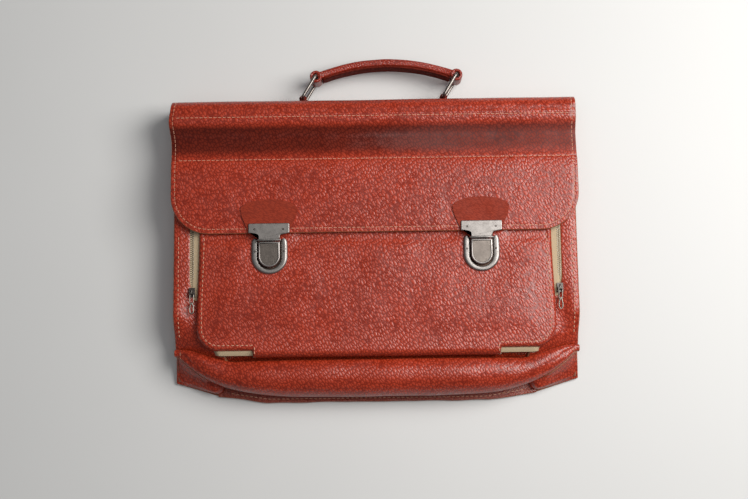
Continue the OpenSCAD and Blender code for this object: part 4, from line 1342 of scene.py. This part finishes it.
def grip_height(a):
    """The strap is taller where it wraps round the rings."""
    from_middle = abs(np.degrees(a) - 90) / ARCH_A
    return GRIP_H + (EYE_H - GRIP_H - 1) * smooth((from_middle - 0.80) / 0.2)


def eye_parts(centre):
    """The rolled end round a ring's bar: a soft tube with a sunken hole at both ends."""
    h, bore = EYE_H / 2, WIRE_R + 1.6
    half = [(bore, h - 4), (bore, h - 1.2), (bore + 0.35, h - 0.3), (bore + 1.0, h), (EYE_R - 1.4, h),
            (EYE_R - 0.5, h - 0.35), (EYE_R - 0.05, h - 1.2), (EYE_R, h - 3), (EYE_R, 0)]
    profile = np.array(half + [(r, -z) for r, z in half[-2::-1]])
    a = np.linspace(0, 2 * math.pi, 40, endpoint=False)
    r, z = profile[:, 0][:, None], profile[:, 1][:, None]
    points = spots(centre[0] + r * np.cos(a), centre[1] + r * np.sin(a), HANDLE_Z + z).reshape(-1, 3)
    faces = grid_faces(len(profile), 40, wrap=True)
    last = (len(profile) - 1) * 40
    faces += [(j, last + j, last + (j + 1) % 40, (j + 1) % 40) for j in range(40)]
    return points, faces


grip = make("grip_leather", *arch_strip(-GRIP_T / 2, GRIP_T / 2, grip_height, ARCH_A - 0.6, 0.5, 51), grip_hide,
            "handle", slot="grained_leather")
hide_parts("handle_grip")
for centre, label in zip(eyes, ("left", "right")):
    make("grip_end_" + label, *eye_parts(centre), grip_hide, "handle", slot="grained_leather")
palm = arch_strip(-GRIP_T / 2 - 1.6, -GRIP_T / 2 + 0.3, lambda a: GRIP_H - 0.6 + 0 * a, ARCH_A - 1.6, 0.45, 57,
                  worn_ends=0.35)
underlay = make("grip_underlay_leather", *palm, palm_hide, "handle", slot="worn_leather")
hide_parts("handle_underlay")


# ---------- floor, light and camera ----------


def make_floor():
    size = 3.0
    mesh = bpy.data.meshes.new("floor")
    mesh.from_pydata([(-size, -size, 0), (size, -size, 0), (size, size, 0), (-size, size, 0)], [], [(0, 1, 2, 3)])
    floor = bpy.data.objects.new("floor", mesh)
    bpy.context.scene.collection.objects.link(floor)
    material, tree, shader, coords = start_material("pale_floor", "floor", Specular_IOR_Level=0.3)
    cloud = noise(tree, coords, 3, 3)[0]
    pale = blend_colours(tree, cloud, (0.62, 0.615, 0.605, 1), (0.67, 0.665, 0.655, 1))
    tree.links.new(pale, shader.inputs["Base Color"])
    tree.links.new(ramp(tree, cloud, 0.3, 0.7, 0.55, 0.7), shader.inputs["Roughness"])
    mesh.materials.append(material)


def area_light(name, place, target, size, power, colour, height=None, glossy=True):
    data = bpy.data.lights.new(name, "AREA")
    data.energy, data.color, data.size = power, colour, size
    if height:
        data.shape, data.size_y = "RECTANGLE", height
    lamp = bpy.data.objects.new(name, data)
    bpy.context.scene.collection.objects.link(lamp)
    lamp.location = place
    lamp.visible_glossy = glossy
    lamp.rotation_mode = "QUATERNION"
    lamp.rotation_quaternion = (Vector(place) - Vector(target)).to_track_quat("Z", "Y")


make_floor()
area_light("window", (0.78, 0.27, 1.05), (0, 0.0, 0), 0.8, 21.5, (1.0, 0.985, 0.96), 0.9)
area_light("ceiling", (-0.1, -0.3, 2.2), (0, 0, 0), 1.6, 9, (0.97, 0.985, 1.0), glossy=False)
world = bpy.data.worlds.new("room")
world.use_nodes = True
world.node_tree.nodes["Background"].inputs[0].default_value = (0.92, 0.96, 1.0, 1)
world.node_tree.nodes["Background"].inputs[1].default_value = 0.12
bpy.context.scene.world = world
bpy.context.scene.view_settings.view_transform = "Standard"

DISTANCE, ELEVATION, ROLL, LENS, SENSOR = 1.339, 82.1, 0.83, 63.5, 36.0
AIM = Vector((-0.0014, 0.0036, 0))
camera_data = bpy.data.cameras.new("camera")
camera_data.lens, camera_data.sensor_width = LENS, SENSOR
camera = bpy.data.objects.new("camera", camera_data)
bpy.context.scene.collection.objects.link(camera)
rise, roll_a = math.radians(ELEVATION), math.radians(ROLL)
away = Vector((0, -math.cos(rise), math.sin(rise)))
right = Vector((1, 0, 0))
up = away.cross(right)
tilted = right * math.cos(roll_a) - up * math.sin(roll_a)
tilted_up = right * math.sin(roll_a) + up * math.cos(roll_a)
turned = Matrix((tilted, tilted_up, away)).transposed().to_4x4()
camera.matrix_world = Matrix.Translation(AIM + away * DISTANCE) @ turned
bpy.context.scene.camera = camera
